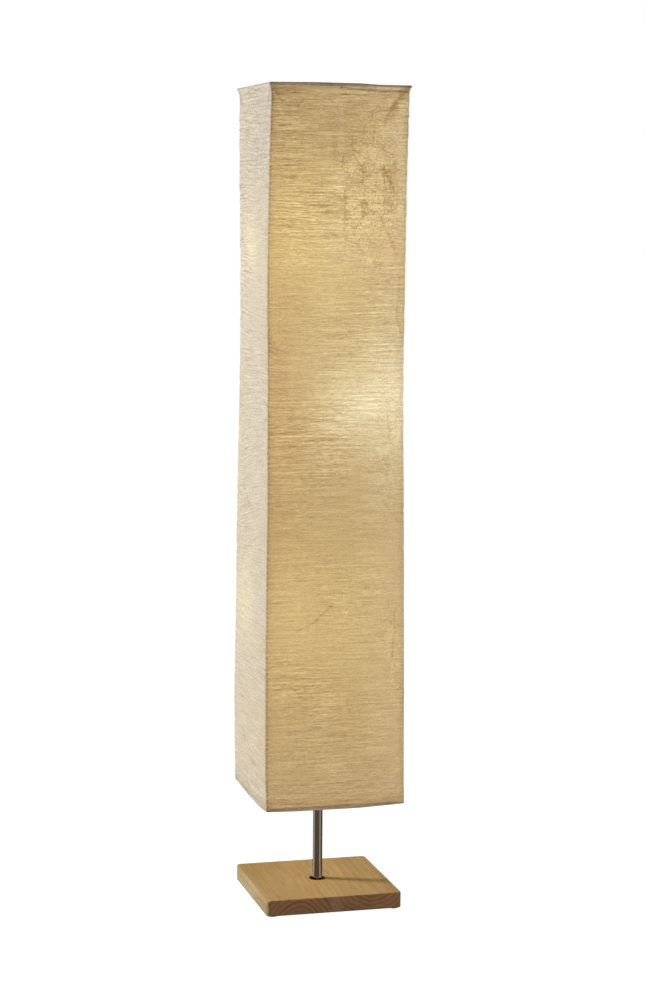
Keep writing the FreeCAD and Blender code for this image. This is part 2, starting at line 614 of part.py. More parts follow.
def bulb(light):
    """The glass envelope, screw cap and tip contact of one bulb."""
    glass = [("insert_inner_r", "glass_low"), ("insert_r", "glass_low"), ("insert_r", "glass_seat")]
    glass += [("neck_glass_r", "glass_seat"), ("neck_glass_r", "neck_top"), ("shoulder_r", "shoulder_z")]
    glass += [("0", "bulb_length", "glass_r"), ("0", "glass_inner_top")]
    glass += [("shoulder_inner_r", "shoulder_inner_z", "-glass_inner_r"), ("neck_glass_inner_r", "neck_top")]
    glass += [("neck_glass_inner_r", "neck_low_z"), ("insert_inner_r", "neck_low_z")]
    cap = [("tip_hole_r", "tip_height"), ("cap_r", "cone_high"), ("cap_r", "cap_top")]
    cap += [("cap_bore_r", "cap_top"), ("cap_bore_r", "cone_high_inner"), ("tip_hole_r", "cap_low_inner")]
    tip = [("0", "0"), ("tip_r", "0"), ("tip_r", "cap_low_inner"), ("0", "cap_low_inner")]
    made = [
        turned(f"bulb_glass_{light}", glass),
        turned(f"bulb_cap_{light}", cap),
        turned(f"bulb_tip_{light}", tip),
    ]
    for piece in made:
        place(piece, f"socket_x_{light}", f"socket_y_{light}", f"seat_{light}")


def rounded_path(points, radii):
    """Straight runs from point to point, joined by tangent arcs of the given radii."""
    edges = []
    start = points[0]
    for before, corner, after, radius in zip(points, points[1:], points[2:], radii):
        back = (before - corner).normalize()
        ahead = (after - corner).normalize()
        half_turn = (math.pi - back.getAngle(ahead)) / 2
        reach = radius * math.tan(half_turn)
        bisector = (back + ahead).normalize()
        middle = corner + bisector * (radius / math.cos(half_turn) - radius)
        arc_start, arc_end = corner + back * reach, corner + ahead * reach
        edges.append(Part.LineSegment(start, arc_start).toShape())
        edges.append(Part.Arc(arc_start, middle, arc_end).toShape())
        start = arc_end
    edges.append(Part.LineSegment(start, points[-1]).toShape())
    return Part.Wire(edges)


def lead(light):
    """A two-core lead: terminal, through the bay, up the pole, out along the arm to the socket."""
    turn = math.radians(value(f"turn_{light}"))
    outward = Vector(math.cos(turn), math.sin(turn), 0)
    in_pole = outward * (0 if light == "upper" else value("lead_offset"))
    away = math.radians(value("lead_turn"))
    x = value(f"lead_x_{light}")
    level = value("lead_level")
    along = (x - in_pole.x) / math.cos(away)
    socket_end = outward * value("arm_reach")
    points = [
        Vector(x, value("terminal_front") + value("entry_depth"), level),
        Vector(x, in_pole.y + along * math.sin(away), level),
        in_pole + UP * level,
        in_pole + UP * value(f"hub_{light}"),
        socket_end + UP * value(f"hub_{light}"),
        socket_end + UP * (value(f"seat_{light}") + value("floor_low")),
    ]
    radii = [value(name) for name in ("lead_sweep", "lead_bend", "lead_bend", "arm_bend")]
    path = rounded_path(points, radii)
    start = Part.Circle(points[0], points[1] - points[0], value("lead_r")).toShape()
    solid = path.makePipeShell([Part.Wire([start])], True, False)
    item = doc.addObject("Part::Feature", f"lead_{light}")
    item.Shape = solid
    expected = math.pi * value("lead_r") ** 2 * path.Length
    print(f"lead_{light}: {path.Length:.1f} mm long, volume off by {abs(solid.Volume / expected - 1):.5f}")
    keep(item, f"lead_{light}")


def wire_frame(label, level):
    """A square of round wire with rounded corners, at the top or bottom of the shade."""
    body = new_body(label)
    path = new_sketch(body, "XY_Plane")
    near, far = "wire_straight", "wire_half"
    corners = [("0", "-" + far), (near, "-" + far), (far, "-" + near, "wire_corner"), (far, near)]
    corners += [(near, far, "wire_corner"), ("-" + near, far), ("-" + far, near, "wire_corner")]
    corners += [("-" + far, "-" + near), ("-" + near, "-" + far, "wire_corner")]
    draw_outline(path, corners)
    profile = new_sketch(body, "YZ_Plane")
    draw_circle(profile, "wire_r", "-wire_half", "0")
    pipe = body.newObject("PartDesign::AdditivePipe", body.Name + "_pipe")
    pipe.Profile = profile
    pipe.Spine = path
    place(body, z=level)


def spider():
    """The ring that drops over the pole's top pin, and the four spokes that carry the top wire."""
    ring("spider_ring", "ring_bore_r", "ring_r", "ring_low", "ring_height")
    spokes = []
    for number, turn in enumerate((0, 90, 180, 270)):
        spoke = doc.addObject("Part::Cylinder", f"spoke_{number}")
        bind(spoke, Radius="wire_r", Height="spoke_length")
        direction = FreeCAD.Rotation(UP, turn).multVec(Vector(1, 0, 0))
        spoke.Placement = FreeCAD.Placement(Vector(0, 0, 0), FreeCAD.Rotation(UP, direction))
        for axis, share in (("x", direction.x), ("y", direction.y)):
            spoke.setExpression(f"Placement.Base.{axis}", f"Sizes.ring_r * {round(share)}")
        bind(spoke, Placement__Base__z="spoke_level")
        spokes.append(spoke)
    group = doc.addObject("Part::Compound", "spider_spokes")
    group.Links = spokes
    keep(group, "spider_spokes")


def paper_wall(label, turn):
    """One wall of the paper shade: mitred at both edges, drawn in between the wires."""
    body = new_body(label)
    sections = []
    for level in range(PAPER_LEVELS):
        outer, inner = f"paper_half_{level}", f"paper_inner_{level}"
        sketch = new_sketch(body, "XY_Plane", f"paper_z_{level}")
        corners = [("-" + outer, "-" + outer), (outer, "-" + outer), (inner, "-" + inner)]
        draw_outline(sketch, corners + [("-" + inner, "-" + inner)])
        sections.append(sketch)
    loft = body.newObject("PartDesign::AdditiveLoft", body.Name + "_loft")
    loft.Profile = sections[0]
    loft.Sections = sections[1:]
    loft.Ruled = True
    body.Placement = FreeCAD.Placement(Vector(0, 0, 0), FreeCAD.Rotation(UP, turn))


def shade():
    wire_frame("top_wire", "wire_top")
    wire_frame("bottom_wire", "wire_bottom")
    spider()
    for side, turn in (("front", 0), ("right", 90), ("back", 180), ("left", 270)):
        paper_wall(f"paper_{side}", turn)
    ring("seat_washer", "ring_bore_r", "seat_r", "shoulder_high", "seat_thickness")


def faults():
    """Every object that failed, and every sub-part whose solid is missing or not valid."""
    found = [f"{item.Name}: {item.State}" for item in doc.Objects if {"Invalid", "Error"} & set(item.State)]
    for piece in pieces:
        if piece.Shape.isNull() or not piece.Shape.isValid() or not piece.Shape.Solids:
            found.append(f"{piece.Label}: no valid solid")
    return found


def write_parts():
    os.makedirs("parts", exist_ok=True)
    for piece in pieces:
        piece.Shape.exportStep(f"parts/{piece.Label}.step")
        box = piece.Shape.optimalBoundingBox()
        low = (round(box.XMin, 1), round(box.YMin, 1), round(box.ZMin, 1))
        high = (round(box.XMax, 1), round(box.YMax, 1), round(box.ZMax, 1))
        print(f"{piece.Label}: {len(piece.Shape.Solids)} solids, {piece.Shape.Volume:.0f} mm3, {low} to {high}")


fill_sheet()
base_block()
foot_pads()
bottom_cover()
screws()
ballast_plate()
base_fixing()
cord_bushing()
terminal_block()
pole()
for light in LIGHTS:
    socket_arm(light)
    socket(light)
    bulb(light)
    lead(light)
shade()
doc.recompute()
problems = faults()
if problems:
    raise RuntimeError("; ".join(problems))
write_parts()
print(len(pieces), "sub-parts written")
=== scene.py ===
# %% [markdown]
# # An andon floor lamp
# The lamp is a tall square lantern of crinkled paper on a steel pole, with a square wooden foot.
# Three bulbs stand on side arms inside the paper, so the lamp glows from within.
# The solids come from the CAD model and stay where they are. Blender adds the finish of every
# surface, the crinkled paper itself, the light and the camera.

# %% Load the frame
import json
from math import atan2, cos, pi, radians, sin

import bpy
import numpy as np
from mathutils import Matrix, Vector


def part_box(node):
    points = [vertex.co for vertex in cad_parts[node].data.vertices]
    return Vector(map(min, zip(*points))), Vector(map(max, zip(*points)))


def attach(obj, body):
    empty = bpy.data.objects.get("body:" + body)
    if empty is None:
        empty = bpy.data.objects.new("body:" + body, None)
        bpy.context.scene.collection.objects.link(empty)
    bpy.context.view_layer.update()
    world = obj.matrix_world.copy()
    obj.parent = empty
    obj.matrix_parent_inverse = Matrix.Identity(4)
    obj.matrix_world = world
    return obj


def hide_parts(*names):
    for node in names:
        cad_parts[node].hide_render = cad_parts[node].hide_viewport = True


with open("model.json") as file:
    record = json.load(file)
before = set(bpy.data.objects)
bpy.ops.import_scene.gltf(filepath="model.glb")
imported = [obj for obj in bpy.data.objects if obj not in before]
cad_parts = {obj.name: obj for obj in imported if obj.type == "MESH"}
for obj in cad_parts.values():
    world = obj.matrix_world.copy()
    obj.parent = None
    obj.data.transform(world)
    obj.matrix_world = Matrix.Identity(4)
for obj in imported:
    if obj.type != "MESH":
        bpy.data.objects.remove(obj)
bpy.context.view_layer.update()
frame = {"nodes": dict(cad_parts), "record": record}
slot_of = {part["node"]: part["material_slot"] for part in frame["record"]["subparts"]}

# %% [markdown]
# ## The camera
# The photograph was taken from a little above the lamp's middle and from its left, with a long lens, so
# that upright lines stay nearly parallel. Its place was worked out from the outlines of the shade
# and the foot. A camera in Blender looks along its own minus Z, so its three axes are written
# straight into its matrix.

# %% Place the camera
from mathutils import Matrix, Vector

PHOTO_HEIGHT = 1000
FOCAL_PIXELS = 2404.4
SENSOR = 36.0
CAMERA_AZIMUTH = radians(-14.76)
CAMERA_ELEVATION = radians(7.21)
CAMERA_ROLL = radians(0.406)
CAMERA_DISTANCE = 4.36
AIM_HEIGHT = 0.7343
AIM_SIDEWAYS = 0.0046


def photo_camera():
    """The camera looks from azimuth and elevation at a point on the pole's axis, moved a little
    sideways, and is then rolled about its own line of sight."""
    sideways = Vector((cos(CAMERA_AZIMUTH), sin(CAMERA_AZIMUTH), 0))
    back = Vector((sin(CAMERA_AZIMUTH) * cos(CAMERA_ELEVATION),
                   -cos(CAMERA_AZIMUTH) * cos(CAMERA_ELEVATION),
                   sin(CAMERA_ELEVATION)))
    above = back.cross(sideways)
    right = cos(CAMERA_ROLL) * sideways + sin(CAMERA_ROLL) * above
    up = cos(CAMERA_ROLL) * above - sin(CAMERA_ROLL) * sideways
    lens = bpy.data.cameras.new("photo_camera")
    lens.sensor_width = SENSOR
    lens.lens = FOCAL_PIXELS * SENSOR / PHOTO_HEIGHT
    camera = bpy.data.objects.new("photo_camera", lens)
    bpy.context.scene.collection.objects.link(camera)
    place = Vector((0, 0, AIM_HEIGHT)) + AIM_SIDEWAYS * sideways + CAMERA_DISTANCE * back
    camera.matrix_world = Matrix.Translation(place) @ Matrix((right, up, back)).transposed().to_4x4()
    bpy.context.scene.camera = camera
    return place


print("camera at", tuple(photo_camera()))

# %% [markdown]
# ## Small helpers for node trees
# Every finish below is a tree of nodes. These helpers add one node in one call, to the tree that was
# started last, so that a finish reads as a short recipe: take the coordinates, make a pattern,
# colour it, and give it to the shader.

# %% Helpers for materials


def start_tree(owner):
    """Lets the helpers below add their nodes to the owner's tree, until another tree is started."""
    global tree
    owner.use_nodes = True
    tree = owner.node_tree


def new_finish(name):
    """Starts an empty material. Returns it and its Principled shader, which most finishes need."""
    material = bpy.data.materials.new(name)
    start_tree(material)
    return material, tree.nodes["Principled BSDF"]


def plug(node, inputs):
    """Gives each of the node's sockets another node's output or a plain value. A colour's three
    numbers get the fourth that Blender's colour sockets have."""
    for name, value in inputs.items():
        socket = node.inputs[name]
        if isinstance(value, bpy.types.NodeSocket):
            tree.links.new(value, socket)
        else:
            socket.default_value = (*value, 1.0) if socket.type == "RGBA" else value


def add(kind, inputs=None, **settings):
    """Adds one node of Blender's kind ShaderNode..., by the rest of that name. settings are the
    node's own choices, and inputs goes to its sockets."""
    made = tree.nodes.new(f"ShaderNode{kind}")
    for name, value in settings.items():
        setattr(made, name, value)
    plug(made, inputs or {})
    return made


def show(factor, first, second):
    """Makes the surface show the shader first where factor is 0 and second where it is 1."""
    both = add("MixShader", {0: factor, 1: first, 2: second})
    plug(tree.nodes["Material Output"], {"Surface": both.outputs[0]})


# %% [markdown]
# Patterns are arithmetic: steps, sums and products of numbers that mostly lie between 0 and 1.

# %% Helpers for arithmetic


def sums(operation, *values):
    """One step of arithmetic on numbers or on other nodes' outputs."""
    return add("Math", dict(enumerate(values)), operation=operation).outputs[0]


def times(first, second):
    """first multiplied by second."""
    return sums("MULTIPLY", first, second)


def plus(first, second):
    """first and second together."""
    return sums("ADD", first, second)


def minus(first, second):
    """first less second."""
    return sums("SUBTRACT", first, second)


def length_of(first, second):
    """The root of the sum of the two squares: the distance from a line, from its two parts."""
    squares = [sums("POWER", part, 2.0) for part in (first, second)]
    return sums("SQRT", plus(*squares))


def smooth_step(value, start, end):
    """0 below start and 1 above end, with a soft rise between."""
    made = add("MapRange", {"Value": value, "From Min": start, "From Max": end},
               interpolation_type="SMOOTHSTEP")
    return made.outputs["Result"]


def hump(value, rise, fall):
    """1 between two soft slopes and 0 beyond them. rise and fall give each slope's start and end."""
    return times(smooth_step(value, *rise), minus(1.0, smooth_step(value, *fall)))


# %% [markdown]
# Places are in metres, on the object or on the flat paper, and noise over them is the raw material
# of every pattern.

# %% Helpers for places and noise


def place_of(scale=1):
    """Object coordinates stretched by scale: a large number makes a fine pattern along that axis.
    One number alone goes for all three axes."""
    scale = scale if isinstance(scale, tuple) else (scale, scale, scale)
    place = add("TexCoord").outputs["Object"]
    return add("Mapping", {"Vector": place, "Scale": scale}).outputs[0]


def axes_of(place=None):
    """The coordinates of a place one by one. Without a place they are the object's own."""
    return add("SeparateXYZ", {0: place_of() if place is None else place}).outputs


def stretched(place, length, height):
    """A flat place scaled so that a pattern on it has hills about length long and height high."""
    return add("Mapping", {"Vector": place, "Scale": (1 / length, 1 / height, 1)}).outputs[0]


def noise(place, detail=3.0, roughness=0.5):
    """Soft random hills, mostly from 0.3 to 0.7."""
    made = add("TexNoise",
               {"Vector": place, "Scale": 1.0, "Detail": detail, "Roughness": roughness})
    return made.outputs["Fac"]


def grain(scale, detail=3.0, roughness=0.5):
    """Noise over the object's own coordinates, stretched by scale."""
    return noise(place_of(scale), detail, roughness)


def bump(height, depth, strength=1.0):
    """A normal that makes height look like relief depth metres deep."""
    made = add("Bump", {"Height": height, "Distance": depth, "Strength": strength})
    return made.outputs["Normal"]


# %% [markdown]
# Colours are mixed and laid over each other as a painter would.

# %% Helpers for colour


def grey(level):
    """A colour with three equal parts."""
    return (level, level, level)


def scaled(colour, factor):
    """A colour made darker or brighter, but no brighter than white."""
    return tuple(min(factor * part, 1.0) for part in colour)


def mix(factor, first, second, blend="MIX"):
    """first where factor is 0 and second where it is 1, for colours."""
    inputs = {0: factor, 6: first, 7: second}
    return add("Mix", inputs, data_type="RGBA", blend_type=blend).outputs[2]


def stain(under, over, pattern, strength):
    """The colour under with the colour over laid on it, at full strength where pattern is 1."""
    return mix(times(pattern, strength), under, over)


def stained(under, colours, **layers):
    """Stains the colour under with one layer after the other: the colour of that name, where its
    pattern is, at its strength."""
    for name, (pattern, strength) in layers.items():
        under = stain(under, colours[name], pattern, strength)
    return under


# %% [markdown]
# ## The studio
# The photograph shows pure white all round the lamp, so the floor and the world are white to the
# camera. For reflections and bounced light the room is dim, which gives the steel pole its dark
# middle. The main light is a tall soft box at the left and a little behind: it lights the left side
# and leaves the front in shade, and the pole's shadow runs to the right across the foot. A weak
# soft box at the right front lifts that shade. Mirrors show neither: the pole's bright lines come
# from cards on the floor.

# %% Light the studio
ROOM_WHITE = 1.0
ROOM_BOUNCE = 0.17


def white_room():
    """The world is white to the camera and dim to every other ray."""
    world = bpy.data.worlds.new("white_room")
    start_tree(world)
    tree.nodes.clear()
    seen = add("LightPath").outputs["Is Camera Ray"]
    strength = plus(times(seen, ROOM_WHITE - ROOM_BOUNCE), ROOM_BOUNCE)
    backdrop = add("Background", {"Color": grey(1), "Strength": strength})
    add("OutputWorld", {"Surface": backdrop.outputs[0]})
    bpy.context.scene.world = world


def soft_box(name, turn, rise, distance, aim, size, watts, colour):
    """A rectangle of light that faces aim from distance away, in the direction that turn and rise
    give. Neither the camera nor a mirror shows it."""
    light = bpy.data.lights.new(name, "AREA")
    light.shape = "RECTANGLE"
    light.size, light.size_y = size
    light.energy = watts
    light.color = colour
    lamp = bpy.data.objects.new(name, light)
    bpy.context.scene.collection.objects.link(lamp)
    away = Vector((cos(turn) * cos(rise), sin(turn) * cos(rise), sin(rise)))
    lamp.location = Vector(aim) + distance * away
    lamp.rotation_euler = away.to_track_quat("Z", "Y").to_euler()
    lamp.visible_camera = False
    lamp.visible_glossy = False
    return lamp


white_room()
soft_box("key_box", radians(157.0), radians(15.5), distance=3.4, aim=(0, 0, 0.55),
         size=(0.7, 1.5), watts=168.0, colour=(0.99, 0.99, 1.0))
soft_box("fill_box", radians(-50.0), radians(10.0), distance=3.0, aim=(0, 0, 0.6),
         size=(0.9, 1.8), watts=18.0, colour=(1.0, 0.9, 0.76))
bpy.context.scene.view_settings.view_transform = "Standard"
print("two soft boxes and a white room")

# %% [markdown]
# ## The floor
# The floor shines to the camera, so that it is as white as the room behind it. To other rays it is
# dark paint: a bright floor would light the foot's dark front. The upright pole shows only the floor,
# since a ray that comes down to it goes on down, so its bright stripes are two white cards on the
# floor, wedges that run out from the foot. A mirror shows a light where its surface is turned
# halfway between the light and the camera, so the stripes' places give the cards' directions. A
# small card of the same kind lies on the foot, where only the pole can see it, so that the stripes
# run on down to the wood. From below the floor is clear, so that the underside can be looked at.

# %% Lay the floor
FLOOR_HALF = 14.0
FLOOR_GLOW = 1.0
FLOOR_SHADE = 0.16
CARDS = [(radians(128.0), radians(180.0), (0.52, 0.5, 0.46)),
         (radians(-64.0), radians(-30.0), (0.46, 0.42, 0.35))]
CARD_EDGE = radians(7.0)
DARK_FLOOR = (0.11, 0.085, 0.06)
DARK_CARD = (0.09, 0.055, 0.035)
CARD_HOLE = 0.0155
CARD_LIFT = 0.0006
CARD_INSET = 0.002
SQUARE_POINTS = 9


def mesh_from_grid(name, points):
    """A mesh from a grid of points, rows by columns by 3. Each cell is a face of four corners."""
    rows, columns = points.shape[:2]
    index = np.arange(rows * columns).reshape(rows, columns)
    corners = [index[:-1, :-1], index[:-1, 1:], index[1:, 1:], index[1:, :-1]]
    faces = np.stack(corners, axis=-1).reshape(-1, 4)
    mesh = bpy.data.meshes.new(name)
    mesh.from_pydata(points.reshape(-1, 3).tolist(), [], faces.tolist())
    mesh.shade_smooth()
    piece = bpy.data.objects.new(name, mesh)
    bpy.context.scene.collection.objects.link(piece)
    return piece


def cards_on(shown):
    """The colour shown, with the bright cards laid over it at their directions from the pole."""
    axes = axes_of()
    direction = sums("ARCTAN2", axes["Y"], axes["X"])
    for start, end, colour in CARDS:
        inside = hump(direction, (start, start + CARD_EDGE), (end - CARD_EDGE, end))
        shown = mix(inside, shown, colour)
    return shown


def underside():
    """1 on the back of a face and 0 on its front."""
    return add("NewGeometry").outputs["Backfacing"]


def open_air():
    """A shader that shows what is behind it."""
    return add("BsdfTransparent").outputs[0]


def floor_finish():
    """Dark paint that glows white to the camera and shows its cards to what mirrors it."""
    material, shader = new_finish("studio_floor")
    ray = add("LightPath").outputs
    seen, mirrored = ray["Is Camera Ray"], ray["Is Glossy Ray"]
    paint = mix(grain(3, 4.0), grey(FLOOR_SHADE), grey(1.2 * FLOOR_SHADE))
    plug(shader, {
        "Base Color": mix(mirrored, paint, grey(0)),
        "Roughness": 1.0,
        "Specular IOR Level": 0.0,
        "Emission Color": mix(seen, cards_on(DARK_FLOOR), grey(FLOOR_GLOW)),
        "Emission Strength": sums("MAXIMUM", seen, mirrored)})
    show(underside(), shader.outputs[0], open_air())
    return material


def card_finish():
    """A card that shines upwards and is clear from below and round the pole's hole."""
    material, _ = new_finish("foot_card")
    axes = axes_of()
    hole = sums("LESS_THAN", length_of(axes["X"], axes["Y"]), CARD_HOLE)
    dark = mix(grain((200, 30, 200), 2.0), DARK_CARD, scaled(DARK_CARD, 1.6))
    shine = add("Emission", {"Color": cards_on(dark)})
    show(sums("MAXIMUM", underside(), hole), shine.outputs[0], open_air())
    return material


def flat_square(name, half, height, finish):
    """A level square about the pole's axis."""
    span = np.linspace(-half, half, SQUARE_POINTS)
    across, deep = np.meshgrid(span, span)
    square = mesh_from_grid(name, np.stack([across, deep, np.full_like(across, height)], axis=-1))
    square.data.materials.append(finish)
    return square


floor = flat_square("floor", FLOOR_HALF, 0.0, floor_finish())
foot_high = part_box("base_block")[1]
foot_card = flat_square("foot_card", foot_high.x - CARD_INSET, foot_high.z + CARD_LIFT, card_finish())
foot_card.visible_camera = foot_card.visible_diffuse = False
foot_card.visible_transmission = foot_card.visible_shadow = False
print("floor", 2 * FLOOR_HALF, "m square")

# %% [markdown]
# ## The paper: random hills
# The shade's paper is crinkled by hand: thousands of short level wrinkles, some slanted ones, and
# crumpled patches. All of that is random but has a size and a direction, which is what filtered
# noise gives. White noise is taken apart into waves, each wave is kept or dropped by its length,
# and the rest is put together again. The lattice of values wraps round the whole shade, so the
# wrinkles run on round the folds.

# %% Make random hills
SHADE_HALF = -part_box("paper_front")[0].y
FOLD_RADIUS = 0.0014
WALL_WIDTH = 2 * (SHADE_HALF - FOLD_RADIUS) + FOLD_RADIUS * pi / 2
HALF_WIDTH = WALL_WIDTH / 2
GIRTH = 4 * WALL_WIDTH
TALL = 1.36
LATTICE_WIDE = 1024
LATTICE_TALL = 2048


def hills(seed, along, upright, beat=0.0):
    """Random hills with a mean of 0 and a usual height of 1. A wave of f turns a metre round the
    shade and g up it is kept by exp(-2 (pi along f)^2 - 2 (pi upright (|g| - beat))^2), so along and
    upright are the hills' sizes, and beat is how many waves a metre stand over each other."""
    white = np.random.default_rng(seed).standard_normal((LATTICE_TALL, LATTICE_WIDE))
    wave_round = np.fft.fftfreq(LATTICE_WIDE, GIRTH / LATTICE_WIDE)
    wave_up = np.fft.fftfreq(LATTICE_TALL, TALL / LATTICE_TALL)[:, None]
    kept = np.exp(-2 * (np.pi * along * wave_round) ** 2
                  - 2 * (np.pi * upright * (np.abs(wave_up) - beat)) ** 2)
    field = np.fft.ifft2(np.fft.fft2(white) * kept).real
    return field / field.std()


def read(field, round_by, up):
    """The field's value at a distance round the shade and a height up it: the four lattice values
    about the point, each weighted by how near it is."""
    column = round_by / GIRTH * LATTICE_WIDE
    row = up / TALL * LATTICE_TALL
    left, low = np.floor(column).astype(int), np.floor(row).astype(int)
    p, q = column - left, row - low
    left, right = left % LATTICE_WIDE, (left + 1) % LATTICE_WIDE
    low, high = low % LATTICE_TALL, (low + 1) % LATTICE_TALL
    lower = field[low, left] * (1 - p) + field[low, right] * p
    upper = field[high, left] * (1 - p) + field[high, right] * p
    return lower * (1 - q) + upper * q


WRINKLE_PITCH = 0.0046
wrinkle_field = hills(11, 0.015, 0.005, 0.5 / WRINKLE_PITCH)
thread_field = hills(12, 0.007, 0.0016, 0.9 / WRINKLE_PITCH)
vigour_field = hills(13, 0.035, 0.03)
sway_field = hills(14, 0.045, 0.03)
slack_field = hills(15, 0.09, 0.12)
crumple_field = hills(16, 0.0085, 0.01)
facet_field = hills(17, 0.02, 0.026)
print("wrinkles cross zero every", WRINKLE_PITCH, "m")

# %% [markdown]
# ## The paper: how the walls hang
# The paper is stretched between two square wires. Between them it is drawn in by a few millimetres
# and has twisted a little, which shows in the photograph as folds that aren't quite straight. The
# cross-section is a square with tight round folds, and the upright profile goes up inside the wire,
# over it, down the outside of the shade, under the lower wire and up inside again, as the glued hem
# of a real shade does.

# %% Give the walls their form
wire_low, wire_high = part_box("top_wire")
WIRE_RADIUS = (wire_high.z - wire_low.z) / 2
TOP_WIRE = wire_high.z - WIRE_RADIUS
BOTTOM_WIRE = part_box("bottom_wire")[0].z + WIRE_RADIUS
WIRE_HALF = wire_high.x - WIRE_RADIUS
PAPER_OFF_WIRE = 0.0004
HEM_RADIUS = WIRE_RADIUS + PAPER_OFF_WIRE
HEM_HEIGHT = 0.002
BAND_HEIGHT = 0.015
DRAWN_IN = [(0, 0), (0.13, 0), (0.185, 0.2), (0.235, 0.6), (0.285, 0.9), (0.335, 1.4), (0.385, 2.3),
            (0.435, 3.2), (0.485, 3.5), (0.585, 3.7), (0.635, 3.7), (0.685, 3), (0.735, 2.7), (0.785, 2.7),
            (0.835, 3.2), (0.885, 3.5), (0.935, 3.9), (0.985, 4), (0.993, 3.4), (0.9975, 1.4), (0.9992, 0)]
TWISTED = [(0, 0), (0.085, 0.2), (0.135, 0.5), (0.185, -0.1), (0.235, -0.6), (0.335, -0.5), (0.435, -0.5),
           (0.485, -1.1), (0.535, -1.9), (0.585, -2.5), (0.635, -3.5), (0.685, -4.3), (0.785, -4.2),
           (0.835, -3), (0.885, -1.7), (0.935, -0.6), (0.985, 0.5), (1, 0)]
LEANING = [(0, -0.4), (0.02, -1.2), (0.05, -2.2), (0.085, -2.5), (0.135, -3), (0.185, -2.6), (0.285, -2.4),
           (0.435, -3), (0.485, -2.9), (0.535, -2.6), (0.585, -2.2), (0.635, -1.7), (0.685, -1.3),
           (0.785, -0.8), (0.885, -0.7), (0.985, -0.1), (1, 0)]
RAISED = {"front": [(-1, 2.4), (-0.6, 2.8), (-0.4, 3.2), (0.3, 2.4), (0.55, 0.2), (1, 0)],
          "right": [(-1, 0), (0, 1.2), (1, 0.4)], "back": [(-1, 0.4), (0.1, 1.6), (1, 0.8)],
          "left": [(-1, 0.8), (0, 1.6), (1, 2.4)]}
SAGGED = {"front": [(-1, 3.4), (-0.9, 4.4), (-0.5, 5.7), (0.35, 5.8), (0.55, 4.8), (0.85, 2.8), (1, 1.6)],
          "right": [(-1, 1.6), (0, 2.6), (1, 2)], "back": [(-1, 2), (0.1, 3), (1, 3.8)],
          "left": [(-1, 3.8), (-0.6, 6.1), (-0.2, 8), (0.5, 8.6), (0.8, 6.6), (1, 3.4)]}
RAISED_OVER = 0.01
EAR = 0.0014
EAR_TALL = 0.006
EAR_WIDE = 0.004
MILLIMETRE = 0.001
CORNER_TURNS = np.radians([15.0, 30.0, 45.0])
WALL_CELLS = 78
FACE_ROWS = 1100
HEM_ROWS = 3
TURN_ROWS = 7
TIGHT = 0.25
TIGHT_OVER = 0.012


def at_share(profile, share):
    """The profile's value at each share: straight between its points, and level beyond them."""
    shares, values = np.array(profile).T
    return np.interp(share, shares, values)


def follow(profile, share):
    """The same in metres, for a profile in millimetres."""
    return at_share(profile, share) * MILLIMETRE


def share_up(up):
    """How far up the wall a height is: 0 at the lower wire and 1 at the upper one."""
    return (up - BOTTOM_WIRE) / (TOP_WIRE - BOTTOM_WIRE)


def wall_columns():
    """Across one wall, from fold to fold: how far along the flat part each column is, from -1 to 1,
    and how far it has turned round a fold, from -45 to 45 degrees."""
    flat = np.linspace(-1, 1, WALL_CELLS + 1)
    ends = np.ones(len(CORNER_TURNS))
    level = np.concatenate([-ends, flat, ends])
    turn = np.concatenate([-CORNER_TURNS[::-1], np.zeros_like(flat), CORNER_TURNS])
    return level, turn


def wall_rows():
    """The upright profile from the lower inner hem, under the lower wire, up the outside and over the
    upper wire. Returns each row's height, its distance outside the wire's centre line, and a weight:
    1 on the open wall and small where the paper is tight on a wire."""
    half_turn = np.linspace(-pi, 0, TURN_ROWS)
    rise, beyond = HEM_RADIUS * np.sin(half_turn), HEM_RADIUS * np.cos(half_turn)
    inner_low = np.linspace(BOTTOM_WIRE + HEM_HEIGHT, BOTTOM_WIRE, HEM_ROWS)[:-1]
    inner_high = np.linspace(TOP_WIRE, TOP_WIRE - HEM_HEIGHT, HEM_ROWS)[1:]
    outside = np.linspace(BOTTOM_WIRE, TOP_WIRE, FACE_ROWS)[1:-1]
    inside = np.full(HEM_ROWS - 1, -HEM_RADIUS)
    height = np.concatenate([inner_low, BOTTOM_WIRE + rise, outside, TOP_WIRE - rise[::-1], inner_high])
    beyond = np.concatenate([inside, beyond, np.full_like(outside, HEM_RADIUS), beyond[::-1], inside])
    from_wire = np.minimum(outside - BOTTOM_WIRE, TOP_WIRE - outside)
    open_wall = TIGHT + (1 - TIGHT) * np.clip(from_wire / TIGHT_OVER, 0, 1)
    tight = np.full(HEM_ROWS - 1 + TURN_ROWS, TIGHT)
    return height, beyond, np.concatenate([tight, open_wall, tight])


level, turn = wall_columns()
row_height, row_beyond, row_weight = wall_rows()
row_steps = np.hypot(np.diff(row_height), np.diff(row_beyond))
row_way = np.cumsum(np.append(0, row_steps))
